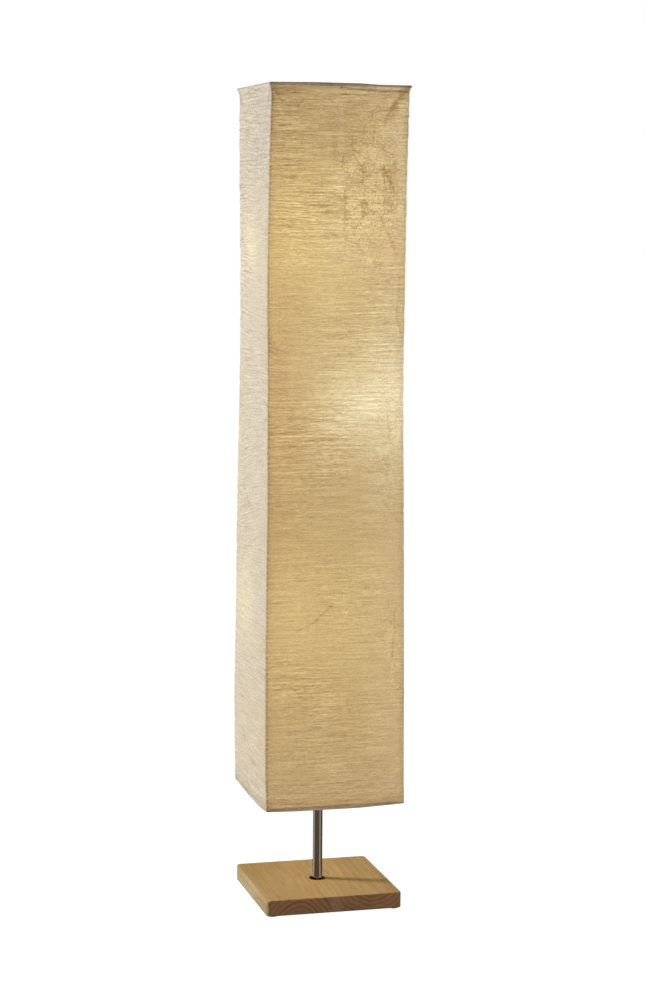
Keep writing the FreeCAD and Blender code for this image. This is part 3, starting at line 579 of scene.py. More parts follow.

# %% [markdown]
# ## The paper: creases and patches
# Some creases in the photograph are single and large: the pulls from the two upper corners, the
# crumpled patch at the upper right of the front, a few nicks by the left fold and a long crease low
# on the front. Each is a straight furrow with a soft end: the two points that it joins, its depth
# and its width. Patches are soft ovals: centre, half sizes and strength. All is in millimetres, from
# the wall's middle line and from the floor. Patches are crumpled, darker with painted shade, pale
# or a warmer colour; the long pale strip along the front's right edge is painted light.

# %% Set the creases
OVAL_POWER = 1.5
CREASES = {
    "front": [(127, 1471, 104, 1460, -1.5, 6), (121, 1464, 97, 1436, -1.7, 9),
        (97, 1436, 80, 1404, -1.1, 7), (-127, 1470, -109, 1441, -1, 6),
        (-109, 1441, -104, 1420, -0.4, 4), (-12, 1425, -4, 1360, 0.9, 6),
        (7, 1352, 4, 1324, -1.4, 2.6), (14, 1290, 11, 1236, -1.6, 3), (11, 1236, 16, 1206, -1.2, 2.5),
        (16, 1206, 40, 1196, -0.9, 3.5), (8, 1345, 60, 1392, 0.9, 7), (60, 1392, 98, 1420, 1, 6),
        (34, 1218, 58, 1170, 1.2, 6), (58, 1170, 78, 1126, 1, 6), (30, 1300, 82, 1330, -1, 7),
        (82, 1330, 104, 1290, -1.2, 6), (104, 1290, 78, 1250, 1, 6),
        (78, 1250, 110, 1180, -1.2, 6), (110, 1180, 100, 1130, 0.9, 6),
        (116, 1140, 112, 1070, -1, 5), (112, 1070, 122, 1036, -1.2, 4),
        (-125, 1020, -98, 1012, -1.1, 3), (-122, 1012, -106, 1002, -0.9, 2.5),
        (-72, 517, -40, 532, -1, 3.5), (-40, 532, -8, 562, -1.1, 3.5),
        (-66, 1268, -30, 1262, -0.8, 3), (96, 900, 104, 862, -0.9, 4), (104, 862, 98, 812, 0.8, 5),
        (98, 812, 112, 790, -1, 4), (92, 740, 116, 708, -1, 4), (110, 540, 106, 470, -1, 3),
        (106, 470, 114, 420, -0.9, 3), (-84, 420, -64, 400, -0.8, 3), (22, 392, 26, 366, -0.9, 2.5),
        (-58, 292, -70, 262, 0.7, 5), (12, 352, 10, 232, 0.45, 2.2), (11, 1120, 11, 1066, 0.5, 2.2)],
    "right": [(-127, 1470, -96, 1438, -1.6, 6), (127, 1471, 100, 1444, -1.5, 6),
        (-60, 1180, 10, 1120, 1.1, 7), (10, 1120, 44, 1040, -1, 6), (-90, 800, -30, 760, -0.9, 5),
        (60, 560, 96, 470, 0.9, 6), (-40, 420, 20, 380, -0.9, 5)],
    "back": [(-127, 1470, -98, 1440, -1.6, 6), (127, 1471, 98, 1438, -1.6, 6),
        (-84, 1330, -30, 1250, -1.1, 6), (-30, 1250, -6, 1170, 1, 6), (40, 980, 96, 900, -1, 6),
        (-70, 640, -20, 590, 0.9, 5), (30, 400, 70, 330, -0.9, 5)],
    "left": [(-127, 1470, -104, 1440, -1.3, 5), (127, 1471, 102, 1442, -1.6, 6),
        (-118, 1000, -112, 920, -1.5, 4), (-112, 920, -120, 860, 1.2, 5),
        (-60, 860, 60, 810, 0.8, 7), (-80, 760, 30, 700, -0.8, 6), (20, 1240, 70, 1180, 0.7, 6),
        (-40, 420, 40, 370, 0.7, 6)],
}
CRUMPLED = {
    "front": [(66, 1300, 62, 130, 1), (100, 880, 28, 150, 0.6), (108, 480, 18, 120, 0.5),
        (-110, 1050, 20, 60, 0.5)],
    "right": [(-40, 1250, 60, 150, 0.8), (70, 640, 40, 140, 0.6)],
    "back": [(30, 1280, 70, 130, 0.8), (-60, 820, 50, 120, 0.6)],
    "left": [(-105, 900, 20, 90, 0.7), (0, 1380, 110, 60, 0.35)],
}
# Painted shade: darker patches along the pulls from the upper corners and beside some creases.
SHADE_PATCHES = {
    "front": [(-119, 1461, 7, 9, 0.35), (-120, 1440, 4, 22, 0.16), (120, 1466, 9, 6, 0.45),
        (112, 1453, 6, 9, 0.45), (103, 1438, 5, 9, 0.4), (95, 1424, 5, 8, 0.3), (82, 1412, 9, 5, 0.28),
        (64, 1402, 11, 4, 0.22), (38, 1392, 14, 4, 0.15), (104, 1330, 4, 16, 0.3),
        (98, 1300, 4, 16, 0.25), (-8, 1352, 5, 30, 0.14)],
    "right": [(-112, 1456, 10, 14, 0.3)],
    "back": [(112, 1456, 10, 14, 0.3)],
    "left": [],
}
# Paler glow; the long patch along the front's right edge is painted light.
PALE_AND_LIT = {
    "front": [(135, 750, 75, 1100, 0.45), (113, 1366, 11, 36, 0.75), (119, 1290, 7, 70, 0.4),
        (115, 1425, 10, 26, 0.55), (2, 1424, 6, 30, 0.4), (5, 1372, 8, 22, 0.55), (52, 1180, 10, 40, 0.4),
        (62, 1316, 16, 40, 0.25), (10, 1235, 48, 95, 0.35), (25, 905, 46, 55, 0.3),
        (96, 1160, 9, 40, 0.3)],
    "right": [(-116, 1400, 10, 60, 0.6)],
    "back": [(-20, 1340, 10, 40, 0.5)],
    "left": [(80, 1300, 16, 30, 0.5)],
}
WARM = {
    "front": [(-127, 880, 70, 330, 1)],
    "right": [(-127, 700, 60, 300, 0.6)],
    "back": [(60, 900, 80, 300, 0.6)],
    "left": [],
}


def furrow(along, up, start, end):
    """How far each point is from the straight line that joins start and end."""
    run = end - start
    progress = np.clip(((along - start[0]) * run[0] + (up - start[1]) * run[1]) / (run @ run), 0, 1)
    return np.hypot(along - start[0] - progress * run[0], up - start[1] - progress * run[1])


def creases_on(wall, along, up):
    """The height that a wall's creases add, in metres, and how dark they make the paper. Each crease
    is a furrow with straight sides: its depth times 1 - distance / width."""
    height, shade = np.zeros_like(along), np.zeros_like(along)
    for *ends, depth, width in CREASES[wall]:
        start, end = np.array(ends).reshape(2, 2) * MILLIMETRE
        near = np.clip(1 - furrow(along, up, start, end) / (width * MILLIMETRE), 0, 1)
        height += depth * MILLIMETRE * near
        shade += max(-depth, 0) * near ** 2
    return height, shade


def ovals_on(patches, along, up):
    """From 0 to 1: soft oval patches, each with its centre, its half sizes and its strength."""
    amount = np.zeros_like(along)
    for middle, height, half_wide, half_tall, strength in patches:
        across_share = (along / MILLIMETRE - middle) / half_wide
        up_share = (up / MILLIMETRE - height) / half_tall
        amount += strength * np.exp(-(across_share ** 2 + up_share ** 2) ** OVAL_POWER)
    return np.clip(amount, 0, 1)


print(sum(len(found) for found in CREASES.values()), "creases by hand")

# %% [markdown]
# ## The paper: relief and walls
# The small wrinkles are the absolute value of a random wave: it has round ridges and sharp valleys
# where the wave crosses zero, like creased paper. A slow sway bends the wrinkles, and on the left
# wall they slant. Relief is measured along the surface's own normal, which turns with the fold, so
# the wrinkles give the folds their small teeth. The same numbers go to the material as attributes,
# so that the valleys are also darker: painted shade, which also stands for thicker paper there.

# %% Build the four walls
WALLS = {"front": (0, (0, -1), (1, 0)), "right": (1, (1, 0), (0, 1)),
         "back": (2, (0, 1), (-1, 0)), "left": (3, (-1, 0), (0, -1))}
SWAY = {"front": 0.0007, "right": 0.0014, "back": 0.0014, "left": 0.0022}
FOLD_SWAY = 0.0012
EDGE_WIDE = 0.0025
WRINKLE_DEPTH = 0.00052
THREAD_DEPTH = 0.00016
SLACK_DEPTH = 0.0009
CRUMPLE_DEPTH = 0.0011
FOLDED_SHARE = 0.6
SLANT = 0.2
SLANT_HEIGHT = 0.78
SLANT_SPREAD = 0.16
SLANT_POWER = 8
VIGOUR_SWING = 0.22
VIGOUR_LIMITS = (0.5, 1.6)
RIDGE_CAP = 1.7
CALMED = 0.55
BAND_EDGE = 0.002
# Painted light: the glow is paler just above the lower wire.
LIT_HEM = 0.004
HEM_SHADE_TOP = 0.0016
HEM_SHADE_BOTTOM = 0.0012
HEM_FULL = 1.5
# Painted shadow of the wires on the paper along the upper and lower hems.
WIRE_SHADOW_SHARE = {"front": 0.14, "right": 0.14, "back": 0.14, "left": 0.1}
LOWER_WIRE_SHADOW = 0.2
LAP_DOWN = 0.0112
LAP_HALF = 0.004
LAP_SHARE = {"front": 0.62, "right": 0.5, "back": 0.4, "left": 0.05}
FOLD_SHADE = 0.9
FOLD_SHADE_WIDE = 0.0015
TOOTH_MEAN = 0.55
TOOTH_SWING = 0.5
# Painted shade on the glow: its level by height on the front, and low on the left wall, where the main
# light falls.
PAINTED_GLOW_LEVEL = {"front": [(0, 0.945), (0.17, 0.94), (0.25, 0.945), (0.31, 0.905), (0.37, 0.875), (0.43, 0.86),
                    (0.48, 0.895), (0.53, 0.95), (0.6, 0.935), (0.68, 0.92), (0.73, 0.955), (0.84, 1),
                    (0.9, 0.975), (0.94, 0.955), (1, 0.975)],
          "right": [(0, 0.92)], "back": [(0, 0.92)],
          "left": [(0, 0.42), (0.12, 0.4), (0.26, 0.3), (0.7, 0.28), (0.85, 0.25), (1, 0.22)]}
VIGOUR = [(0, 0.85), (0.3, 0.85), (0.5, 0.95), (0.72, 1.15), (0.88, 1.42), (1, 1.42)]
LIVELIER = {"left": 1.05}
LINE_SHADE = 0.3
LINE_WIDE = 0.25
LINES_CALMED = 0.5
CRUMPLE_SHADE = 0.5
CRUMPLE_WIDE = 0.16
CREASE_SHADE = 0.5
DEEPEST = 1.4


def relief(wall, along, up, round_by):
    """Height above the smooth wall in metres, and what the finish needs at each point: how much painted
    shade its valleys, creases and folds get, which also stands for thicker paper, its height before the
    paper slanted and swayed, how crumpled it is, and how lively its wrinkles are. At a fold two walls
    take the same values, so that they meet."""
    edge = np.clip((HALF_WIDTH - np.abs(along)) / EDGE_WIDE, 0, 1)
    slanted = SLANT * along * np.exp(-((up - SLANT_HEIGHT) / SLANT_SPREAD) ** 2) * (wall == "left")
    bent = up + (FOLD_SWAY + (SWAY[wall] - FOLD_SWAY) * edge) * read(sway_field, round_by, up)
    bent = bent - slanted * np.clip(1 - (along / HALF_WIDTH) ** SLANT_POWER, 0, 1)
    lively = np.clip(1 + VIGOUR_SWING * read(vigour_field, round_by, up), *VIGOUR_LIMITS)
    vigour = at_share(VIGOUR, share_up(up)) * lively * (1 + (LIVELIER.get(wall, 1) - 1) * edge)
    wave = read(wrinkle_field, round_by, bent)
    rough = ovals_on(CRUMPLED[wall], along, up) * edge
    crease, crease_shade = creases_on(wall, along, up)
    folded = np.abs(read(crumple_field, round_by, up))
    facet = np.abs(read(facet_field, round_by, up))
    height = (WRINKLE_DEPTH * vigour * (1 - CALMED * rough) * np.minimum(np.abs(wave), RIDGE_CAP)
              + THREAD_DEPTH * read(thread_field, round_by, bent)
              + SLACK_DEPTH * read(slack_field, round_by, up)
              + CRUMPLE_DEPTH * rough * (FOLDED_SHARE * folded + facet) + crease * edge)
    # Painted shade in the wrinkles' valleys, the crumples and the creases, which also stands for thicker
    # paper there.
    valley_shade_and_thickness = LINE_SHADE * np.exp(-(wave / LINE_WIDE) ** 2) * vigour * (1 - LINES_CALMED * rough)
    valley_shade_and_thickness += (CRUMPLE_SHADE * np.exp(-(folded / CRUMPLE_WIDE) ** 2) * rough
               + CREASE_SHADE * crease_shade * edge)
    toothed = np.clip(TOOTH_MEAN + TOOTH_SWING * wave, 0, 1)
    at_fold = np.exp(-((SHADE_HALF + along) / FOLD_SHADE_WIDE) ** 2)
    # Painted shade: the darker patches, and a dark toothed line just past each wall's first fold.
    valley_shade_and_thickness += ovals_on(SHADE_PATCHES[wall], along, up) + FOLD_SHADE * toothed * at_fold
    return height, {"valley_shade_and_thickness": np.clip(valley_shade_and_thickness, 0, DEEPEST), "bent": bent, "rough": rough, "vigour": vigour}


def marks(wall, along, up):
    """What else the finish needs at each point: painted shadow of the wires along the hems and the darker
    glued lap, where the paper lies double, the glow's painted level, and how pale and how warm that
    light is, where the paleness is partly painted light."""
    top_edge = TOP_WIRE + HEM_RADIUS
    from_top = top_edge + follow(RAISED[wall], along / HALF_WIDTH) - up
    # upper and lower are painted shadow of the wires; the lap is the darker glued lap.
    upper = np.clip(HEM_FULL - np.abs(top_edge - up) / HEM_SHADE_TOP, 0, 1)
    lower = np.clip(HEM_FULL - np.abs(up - BOTTOM_WIRE) / HEM_SHADE_BOTTOM, 0, 1)
    lap = np.clip(1 - np.abs(from_top - LAP_DOWN) / LAP_HALF, 0, 1)
    # Painted light just above the lower wire.
    lit_hem = np.clip(1 - (up - BOTTOM_WIRE) / LIT_HEM, 0, 1)
    return {"hem": WIRE_SHADOW_SHARE[wall] * (upper + LOWER_WIRE_SHADOW * lower) + LAP_SHARE[wall] * lap,
            "double": np.clip((BOTTOM_WIRE + BAND_HEIGHT - up) / BAND_EDGE, 0, 1),
            "painted_glow_level": at_share(PAINTED_GLOW_LEVEL[wall], share_up(up)),
            "pale": np.clip(ovals_on(PALE_AND_LIT[wall], along, up) + lit_hem, 0, 1),
            "warm": ovals_on(WARM[wall], along, up)}


def wall_points(wall, along, up, height):
    """Where a wall's points are. A point is level (half - fold) along the wall plus the fold's arc,
    and half out from the middle; the whole turns about the pole by the twist at its height and moves
    sideways by the lean. Near the wires the paper is raised or sags, and at the corners it stands
    out by the ear."""
    _, outward, tangent = WALLS[wall]
    from_top, from_bottom = np.abs(TOP_WIRE - up), np.abs(up - BOTTOM_WIRE)
    raised = (follow(RAISED[wall], along / HALF_WIDTH) * np.exp(-from_top / RAISED_OVER)
              - follow(SAGGED[wall], along / HALF_WIDTH) * np.exp(-from_bottom / RAISED_OVER))
    half = WIRE_HALF + row_beyond[:, None] - follow(DRAWN_IN, share_up(up + raised))
    from_corner = SHADE_HALF - np.abs(along)
    ear = EAR * np.exp(-np.minimum(from_top, from_bottom) / EAR_TALL - from_corner / EAR_WIDE)
    fold = FOLD_RADIUS + (height * row_weight[:, None] + ear)
    side = level * (half - FOLD_RADIUS) + fold * np.sin(turn)
    out = half - FOLD_RADIUS + fold * np.cos(turn)
    x = side * tangent[0] + out * outward[0]
    y = side * tangent[1] + out * outward[1]
    twist = (follow(TWISTED, share_up(row_height)) / SHADE_HALF)[:, None]
    lean = follow(LEANING, share_up(row_height))[:, None]
    return np.stack([x * np.cos(twist) - y * np.sin(twist) + lean * cos(CAMERA_AZIMUTH),
                     x * np.sin(twist) + y * np.cos(twist) + lean * sin(CAMERA_AZIMUTH),
                     up + raised], axis=-1)


def wall_sheet(wall):
    """One wall: its mesh, what the finish needs as attributes, and its map on the flat paper."""
    up = np.broadcast_to(row_height[:, None], (len(row_height), len(level)))
    along = np.broadcast_to(level * (SHADE_HALF - FOLD_RADIUS) + FOLD_RADIUS * turn, up.shape)
    round_by = along + (WALLS[wall][0] + 0.5) * WALL_WIDTH
    height, kept = relief(wall, along, up, round_by)
    sheet = mesh_from_grid(f"paper_wall_{wall}", wall_points(wall, along, up, height))
    for name, values in {**kept, **marks(wall, along, up)}.items():
        attribute = sheet.data.attributes.new(name, "FLOAT", "POINT")
        attribute.data.foreach_set("value", values.astype(np.float32).ravel())
    sheet_map = sheet.data.uv_layers.new(name="paper_metres")
    corners = np.zeros(len(sheet.data.loops), np.int32)
    sheet.data.loops.foreach_get("vertex_index", corners)
    flat = np.stack([round_by.ravel(), np.repeat(row_way, len(level))], axis=-1)
    sheet_map.data.foreach_set("uv", flat[corners].astype(np.float32).ravel())
    return sheet


walls = {wall: wall_sheet(wall) for wall in WALLS}
for wall, sheet in walls.items():
    print(sheet.name, len(sheet.data.polygons), "faces")

# %% [markdown]
# ## The paper's finish
# Thin paper does two things with light. It scatters what falls on it, like any matt surface, and it
# lets part of the light from behind through, warmer than it came. So the material mixes a diffuse
# shader with a translucent one. Where the paper lies thick in a wrinkle both are darker, and the
# light that comes through is browner as well; this darkening in valleys, creases and folds is also
# painted shade. The wrinkles are long level hills of two sizes over each other, and where the paper
# is crumpled a fine crackle and flat facets take their place:
# tone = 0.5 + vigour (long + short) (1 - 0.4 rough) + crackle (0.6 + rough) + facets rough,
# less 0.45 where valleys, creases and folds are shaded and 0.1 where the paper is double. The glow
# also gets painted shadow of the wires along the hems, a painted level by wall and height, and painted
# light where it is paler along the front's right edge and above the lower wire.

# %% Finish the paper
LONG_WRINKLE = (0.08, 0.0042)
SHORT_WRINKLE = (0.0125, 0.0023)
CRACKLE = (0.0036, 0.0027)
CLOUD = (0.07, 0.11)
FIBRE = (0.0014, 0.0038)
FACET = (0.019, 0.027)
FACET_STRENGTH = 0.28
FACET_LINE = 0.3
FACET_BENT = 0.3
FACET_RIM = 0.07
FACET_LEVEL = 0.85
LINE_STRENGTH = 0.8
CRACKLE_STRENGTH = 0.95
THROUGH = 0.42
# The hem colours are painted shadow of the wires, laid together with the darker glued lap.
SKIN = {"thick": (0.42, 0.36, 0.27), "thin": (0.9, 0.86, 0.77), "cloud": (0.6, 0.54, 0.44),
        "fibre": (0.95, 0.93, 0.88), "hem": (0.2, 0.16, 0.12)}
# pale_thick and pale_thin are the paler glow, which is partly painted light.
GLOW = {"thick": (0.33, 0.16, 0.035), "thin": (0.98, 0.885, 0.52), "cloud": (0.6, 0.42, 0.18),
        "pale_thick": (0.7, 0.58, 0.38), "pale_thin": (1.0, 0.97, 0.85),
        "warm": (0.98, 0.89, 0.82), "double": (0.66, 0.38, 0.19), "hem": (0.1, 0.06, 0.03)}


def facets_on(flat):
    """Flat cells with a tone of their own and a darker rim, from crumpling."""
    place = stretched(flat, *FACET)
    sway = add("TexNoise", {"Vector": place, "Scale": 1.5, "Detail": 2.0}).outputs["Color"]
    inputs = {"Vector": mix(FACET_BENT, place, sway, "LINEAR_LIGHT"), "Scale": 1.0}
    cell = add("TexVoronoi", inputs, voronoi_dimensions="2D").outputs["Color"]
    rim = add("TexVoronoi", inputs, voronoi_dimensions="2D", feature="DISTANCE_TO_EDGE")
    tone = add("SeparateColor", {0: cell}).outputs[0]
    rims = minus(smooth_step(rim.outputs["Distance"], 0.0, FACET_RIM), FACET_LEVEL)
    return plus(times(minus(tone, 0.5), FACET_STRENGTH), times(rims, FACET_LINE))


def paper_tone(flat, given):
    """How pale the paper is, by the formula above. given holds what the sheets say at each point."""
    round_by = axes_of(flat)["X"]
    on_paper = add("CombineXYZ", {"X": round_by, "Y": given["bent"]}).outputs[0]

    def pattern(size, strength, detail):
        """Random hills of this size about zero."""
        raw = noise(stretched(on_paper, *size), detail)
        return times(minus(raw, 0.5), strength)

    lines = plus(pattern(LONG_WRINKLE, LINE_STRENGTH, 2.0), pattern(SHORT_WRINKLE, LINE_STRENGTH, 3.0))
    calm = minus(1.0, times(given["rough"], 0.4))
    lines = times(times(lines, given["vigour"]), calm)
    crackle = times(pattern(CRACKLE, CRACKLE_STRENGTH, 3.0), plus(given["rough"], 0.6))
    facets = times(facets_on(flat), given["rough"])
    tone = plus(plus(lines, plus(crackle, facets)), 0.5)
    # Painted shade in valleys, creases and folds darkens the tone.
    tone = minus(tone, times(given["valley_shade_and_thickness"], 0.45))
    return minus(tone, times(given["double"], 0.1))


def paper_finish():
    """Matt paper that glows when it is lit from behind."""
    material, shader = new_finish("shade_paper")
    flat = add("UVMap", uv_map="paper_metres").outputs[0]
    given = {name: add("Attribute", attribute_name=name).outputs["Fac"]
             for name in ("valley_shade_and_thickness", "bent", "rough", "vigour", "hem", "double", "painted_glow_level", "pale", "warm")}
    tone = paper_tone(flat, given)
    cloud = smooth_step(noise(stretched(flat, *CLOUD), 4.0), 0.35, 0.75)
    fibre = smooth_step(noise(stretched(flat, *FIBRE)), 0.55, 0.8)
    skin = mix(tone, SKIN["thick"], SKIN["thin"])
    # Along the hems the skin gets painted shadow of the wires and the darker glued lap.
    skin = stained(skin, SKIN, cloud=(cloud, 0.25), fibre=(fibre, 0.15), hem=(given["hem"], 0.7))
    through = stained(mix(tone, GLOW["thick"], GLOW["thin"]), GLOW, cloud=(cloud, 0.25))
    # Paler glow where the pale mark is: partly painted light, along the front's right edge and just above
    # the lower wire.
    pale_and_lit_glow = mix(tone, GLOW["pale_thick"], GLOW["pale_thin"])
    through = stain(through, pale_and_lit_glow, given["pale"], 0.7)
    through = mix(given["warm"], through, mix(1.0, through, GLOW["warm"], "MULTIPLY"))
    # The glow also gets painted shadow of the wires along the hems.
    through = stained(through, GLOW, double=(given["double"], 0.25), hem=(given["hem"], 0.8))
    # Painted shade: the glow's level by wall and height.
    through = mix(given["painted_glow_level"], grey(0), through)
    normal = bump(plus(times(fibre, 0.3), tone), 0.00025, 0.6)
    plug(shader, {"Base Color": skin, "Normal": normal, "Roughness": 0.88, "Specular IOR Level": 0.25})
    behind = add("BsdfTranslucent", {"Color": through, "Normal": normal})
    show(THROUGH, shader.outputs[0], behind.outputs[0])
    return material


paper = paper_finish()
for wall, sheet in walls.items():
    sheet.data.materials.append(paper)
    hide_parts(f"paper_{wall}")
    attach(sheet, "shade")

# %% [markdown]
# ## The wooden foot
# The foot is two boards glued side by side. The grain runs from front to back, so the front shows
# the tree's rings as arcs, and the top shows them as long lines. A tree's rings are cylinders, so
# the pattern is worked out in three dimensions: the distance from each board's own heart line sets
# the ring, and the same sum then gives arcs at the ends and lines on top. One board has its heart
# below it and the other above, as a joiner would lay them.

# %% Finish the wood
HEART_LEFT = (-0.067, -0.028)
HEART_RIGHT = (0.075, 0.07)
RING_PITCH = 0.0085
HOLE_RADIUS = 0.0151
HOLE_EDGE = 0.0007
FACE_FROM = 0.0022
FACE_TO = 0.0004
# hole is painted shade in the pole's hole, side is partly painted sheen, and heart is a patch darker
# towards the back left.
WOOD = {"early": (0.58, 0.385, 0.15), "late": (0.46, 0.275, 0.095), "tone": (0.45, 0.28, 0.105),
        "heart": (0.43, 0.25, 0.085), "pore": (0.32, 0.18, 0.07), "side": (0.76, 0.9, 1.15),
        "end": (0.62, 0.345, 0.175), "end_late": (0.35, 0.155, 0.075),
        "end_blur": (0.44, 0.22, 0.105), "joint": (0.66, 0.44, 0.25), "hole": (0.05, 0.03, 0.018)}


def at_face(value, reach):
    """1 on the two faces that are reach from the middle and 0 further in."""
    return smooth_step(sums("ABSOLUTE", value), reach - FACE_FROM, reach - FACE_TO)


def rings(axes):
    """How far each point is in a ring's dark late wood. The distance from the board's heart line,
    bent a little, is cut into rings, and some years are fainter than others."""
    second_board = sums("GREATER_THAN", axes["X"], 0.0)
    bend = times(minus(grain((11, 3, 11)), 0.5), 0.03)
    from_heart = []
    for axis, left, right in zip("XZ", HEART_LEFT, HEART_RIGHT):
        heart = plus(left, times(second_board, right - left))
        from_heart.append(plus(minus(axes[axis], heart), bend))
    radius = length_of(*from_heart)
    ring = sums("FRACT", sums("DIVIDE", radius, RING_PITCH))
    year = add("CombineXYZ", {"X": times(radius, 75.0), "Y": second_board}).outputs[0]
    strong = smooth_step(noise(year, 1.0), 0.3, 0.62)
    return times(hump(ring, (0.25, 0.8), (0.86, 1.0)), strong)


def wood_finish():
    """Pale satin hardwood with rings, pores and a darker end grain. Its two side faces are greyer, partly
    with painted sheen, and a dark edge of painted shade lies round the hole that was drilled for the pole."""
    material, shader = new_finish("base_wood")
    axes = axes_of()
    late = rings(axes)
    pore = smooth_step(grain((420, 16, 420), 2.0), 0.52, 0.68)
    tone = smooth_step(grain((26, 3.5, 26)), 0.3, 0.7)
    # heart here is only a patch that is darker towards the back left of the top.
    heart = times(smooth_step(axes["Y"], -0.05, 0.1), smooth_step(axes["X"], 0.04, -0.08))
    plank = stained(WOOD["early"], WOOD, late=(late, 0.75), tone=(tone, 0.62), heart=(heart, 0.45),
                    pore=(pore, 0.3))
    # The two side faces are greyer and cooler: partly their sawn face, partly painted sheen of the main
    # light.
    sawn_side_with_sheen = mix(1.0, plank, WOOD["side"], "MULTIPLY")
    plank = mix(at_face(axes["X"], foot_high.x), plank, sawn_side_with_sheen)
    blur = smooth_step(grain((70, 8, 70), 4.0, 0.65), 0.3, 0.7)
    joint = hump(axes["X"], (-0.012, 0.004), (0.006, 0.022))
    end_wood = stained(WOOD["end"], WOOD, end_late=(late, 0.9), end_blur=(blur, 0.45), joint=(joint, 0.5))
    surface = mix(at_face(axes["Y"], foot_high.y), plank, end_wood)
    # Painted shade in the pole's hole: the wood there is near black.
    off_hole = smooth_step(length_of(axes["X"], axes["Y"]), HOLE_RADIUS, HOLE_RADIUS + HOLE_EDGE)
    plug(shader, {
        "Base Color": mix(off_hole, WOOD["hole"], surface),
        "Roughness": plus(0.4, times(pore, 0.2)),
        "Specular IOR Level": 0.35,
        "Normal": bump(minus(1.0, pore), 0.00012, 0.6)})
    return material


finishes = {"base_wood": wood_finish()}
print("wood grain on a foot", round(2 * foot_high.x, 3), "m wide")

# %% [markdown]
# ## Metals
# The pole is steel with a fine brushed skin. Its stripes are reflections of the cards on the floor
# and of the dark room, so the material only needs the right gloss. The other metals use the same
# recipe with their own colour, gloss and scratches. Threads get fine rings as relief, because the
# CAD solids hold plain cylinders there.

# %% Finish the metals
METALS = {
    # colour, gloss, scratches, and then wear, thread pitch and thread depth where it has them
    "pole_steel": ((0.66, 0.63, 0.59), 0.06, (500, 500, 2600)),
    "ballast_steel": ((0.12, 0.12, 0.125), 0.42, 90, 0.3),
    "zinc_screw": ((0.7, 0.7, 0.68), 0.28, 400),
    "brass_thread": ((0.74, 0.56, 0.27), 0.26, 400, 0.2, 0.001, 0.0002),
    "contact_brass": ((0.8, 0.62, 0.32), 0.16, (300, 300, 900)),
    "bulb_metal": ((0.78, 0.78, 0.77), 0.24, 300, 0.15, 0.0036, 0.0006),
}


def metal_finish(name, colour, gloss, fine, wear=0.12, thread_pitch=0.0, thread_depth=0.0):
    """Metal with scratches, finer the larger fine is along an axis, patches of wear, and rings round
    Z where it is threaded."""
    material, shader = new_finish(name)
    scratch = grain(fine, 3.0, 0.6)
    worn = smooth_step(grain(40), 0.35, 0.75)
    normal = bump(scratch, 0.00003, 0.4)
    if thread_pitch:
        wave = sums("SINE", times(axes_of()["Z"], 2 * pi / thread_pitch))
        normal = bump(wave, thread_depth)
    plug(shader, {
        "Base Color": stain(colour, scaled(colour, 0.72), worn, wear),
        "Metallic": 1.0,
        "Roughness": plus(gloss, times(scratch, 0.1)),
        "Normal": normal})
    return material


finishes.update((name, metal_finish(name, *recipe)) for name, recipe in METALS.items())
print(len(METALS), "metals")

# %% [markdown]
# ## Moulded, painted and pressed parts
# Plastics, rubber, enamel and fibre board share one recipe too: a colour that drifts a little, a
# fine moulded grain as relief, and their own gloss. Fibre board gets long pale fibres on top.

# %% Finish the other parts
MOULDED = {
    # colour, gloss, speck size, relief, and then drift and fibres where it has them
    "cover_board": ((0.3, 0.19, 0.11), 0.62, 0.0008, 0.0001, 0.3, 0.4),
    "pad_rubber": ((0.045, 0.045, 0.045), 0.75, 0.0005, 0.00015),
    "inlet_plastic": ((0.03, 0.03, 0.03), 0.38, 0.0006, 0.00008),
    "terminal_plastic": ((0.8, 0.78, 0.71), 0.42, 0.0008, 0.00006),
    "socket_phenolic": ((0.045, 0.036, 0.03), 0.22, 0.0012, 0.00005),
    "lead_sheath": ((0.72, 0.69, 0.6), 0.4, 0.0007, 0.00006),
    "seat_nylon": ((0.8, 0.78, 0.72), 0.45, 0.0006, 0.00005),
    "frame_wire": ((0.085, 0.055, 0.035), 0.35, 0.0009, 0.00008, 0.4),
}


def moulded_finish(name, colour, gloss, speck_size, depth, drift=0.15, fibres=0.0):
    """A moulded or painted skin: colour with a slow drift, fine specks of relief, and fibres where it
    is board."""
    material, shader = new_finish(name)
    cloud = smooth_step(grain(30), 0.3, 0.7)
    speck = grain(1 / speck_size, 2.0)
    skin = stain(colour, scaled(colour, 0.7), cloud, drift)
    if fibres:
        thread = smooth_step(grain((60, 900, 60)), 0.55, 0.75)
        skin = stain(skin, scaled(colour, 1.6), thread, fibres)
    plug(shader, {
        "Base Color": skin,
        "Roughness": plus(gloss, times(speck, 0.12)),
        "Normal": bump(speck, depth, 0.5)})
    return material


finishes.update((name, moulded_finish(name, *recipe)) for name, recipe in MOULDED.items())
print(len(finishes), "finishes so far")

# %% [markdown]
# ## The bulbs
# Each bulb is frosted glass that shines. The shine is the only light that the bulbs give, so the
# bright spots on the paper are where the bulbs really stand. It is strongest at the globe's middle
# and fades towards the neck, where a real bulb's glass is darkened by the cap. The camera itself
# sees a milder, warm glow, or a bare bulb would vanish against the white room.

# %% Finish the bulbs
BULB_SHINE = {"lower": 11.6, "middle": 14.4, "upper": 10.8}
BULB_LIGHT = {"lower": (0.9, 1.0, 0.72), "middle": (0.72, 1.0, 1.3), "upper": (0.9, 1.0, 0.72)}
BULB_SEEN = 0.95
BULB_WARM = (1.0, 0.8, 0.42)


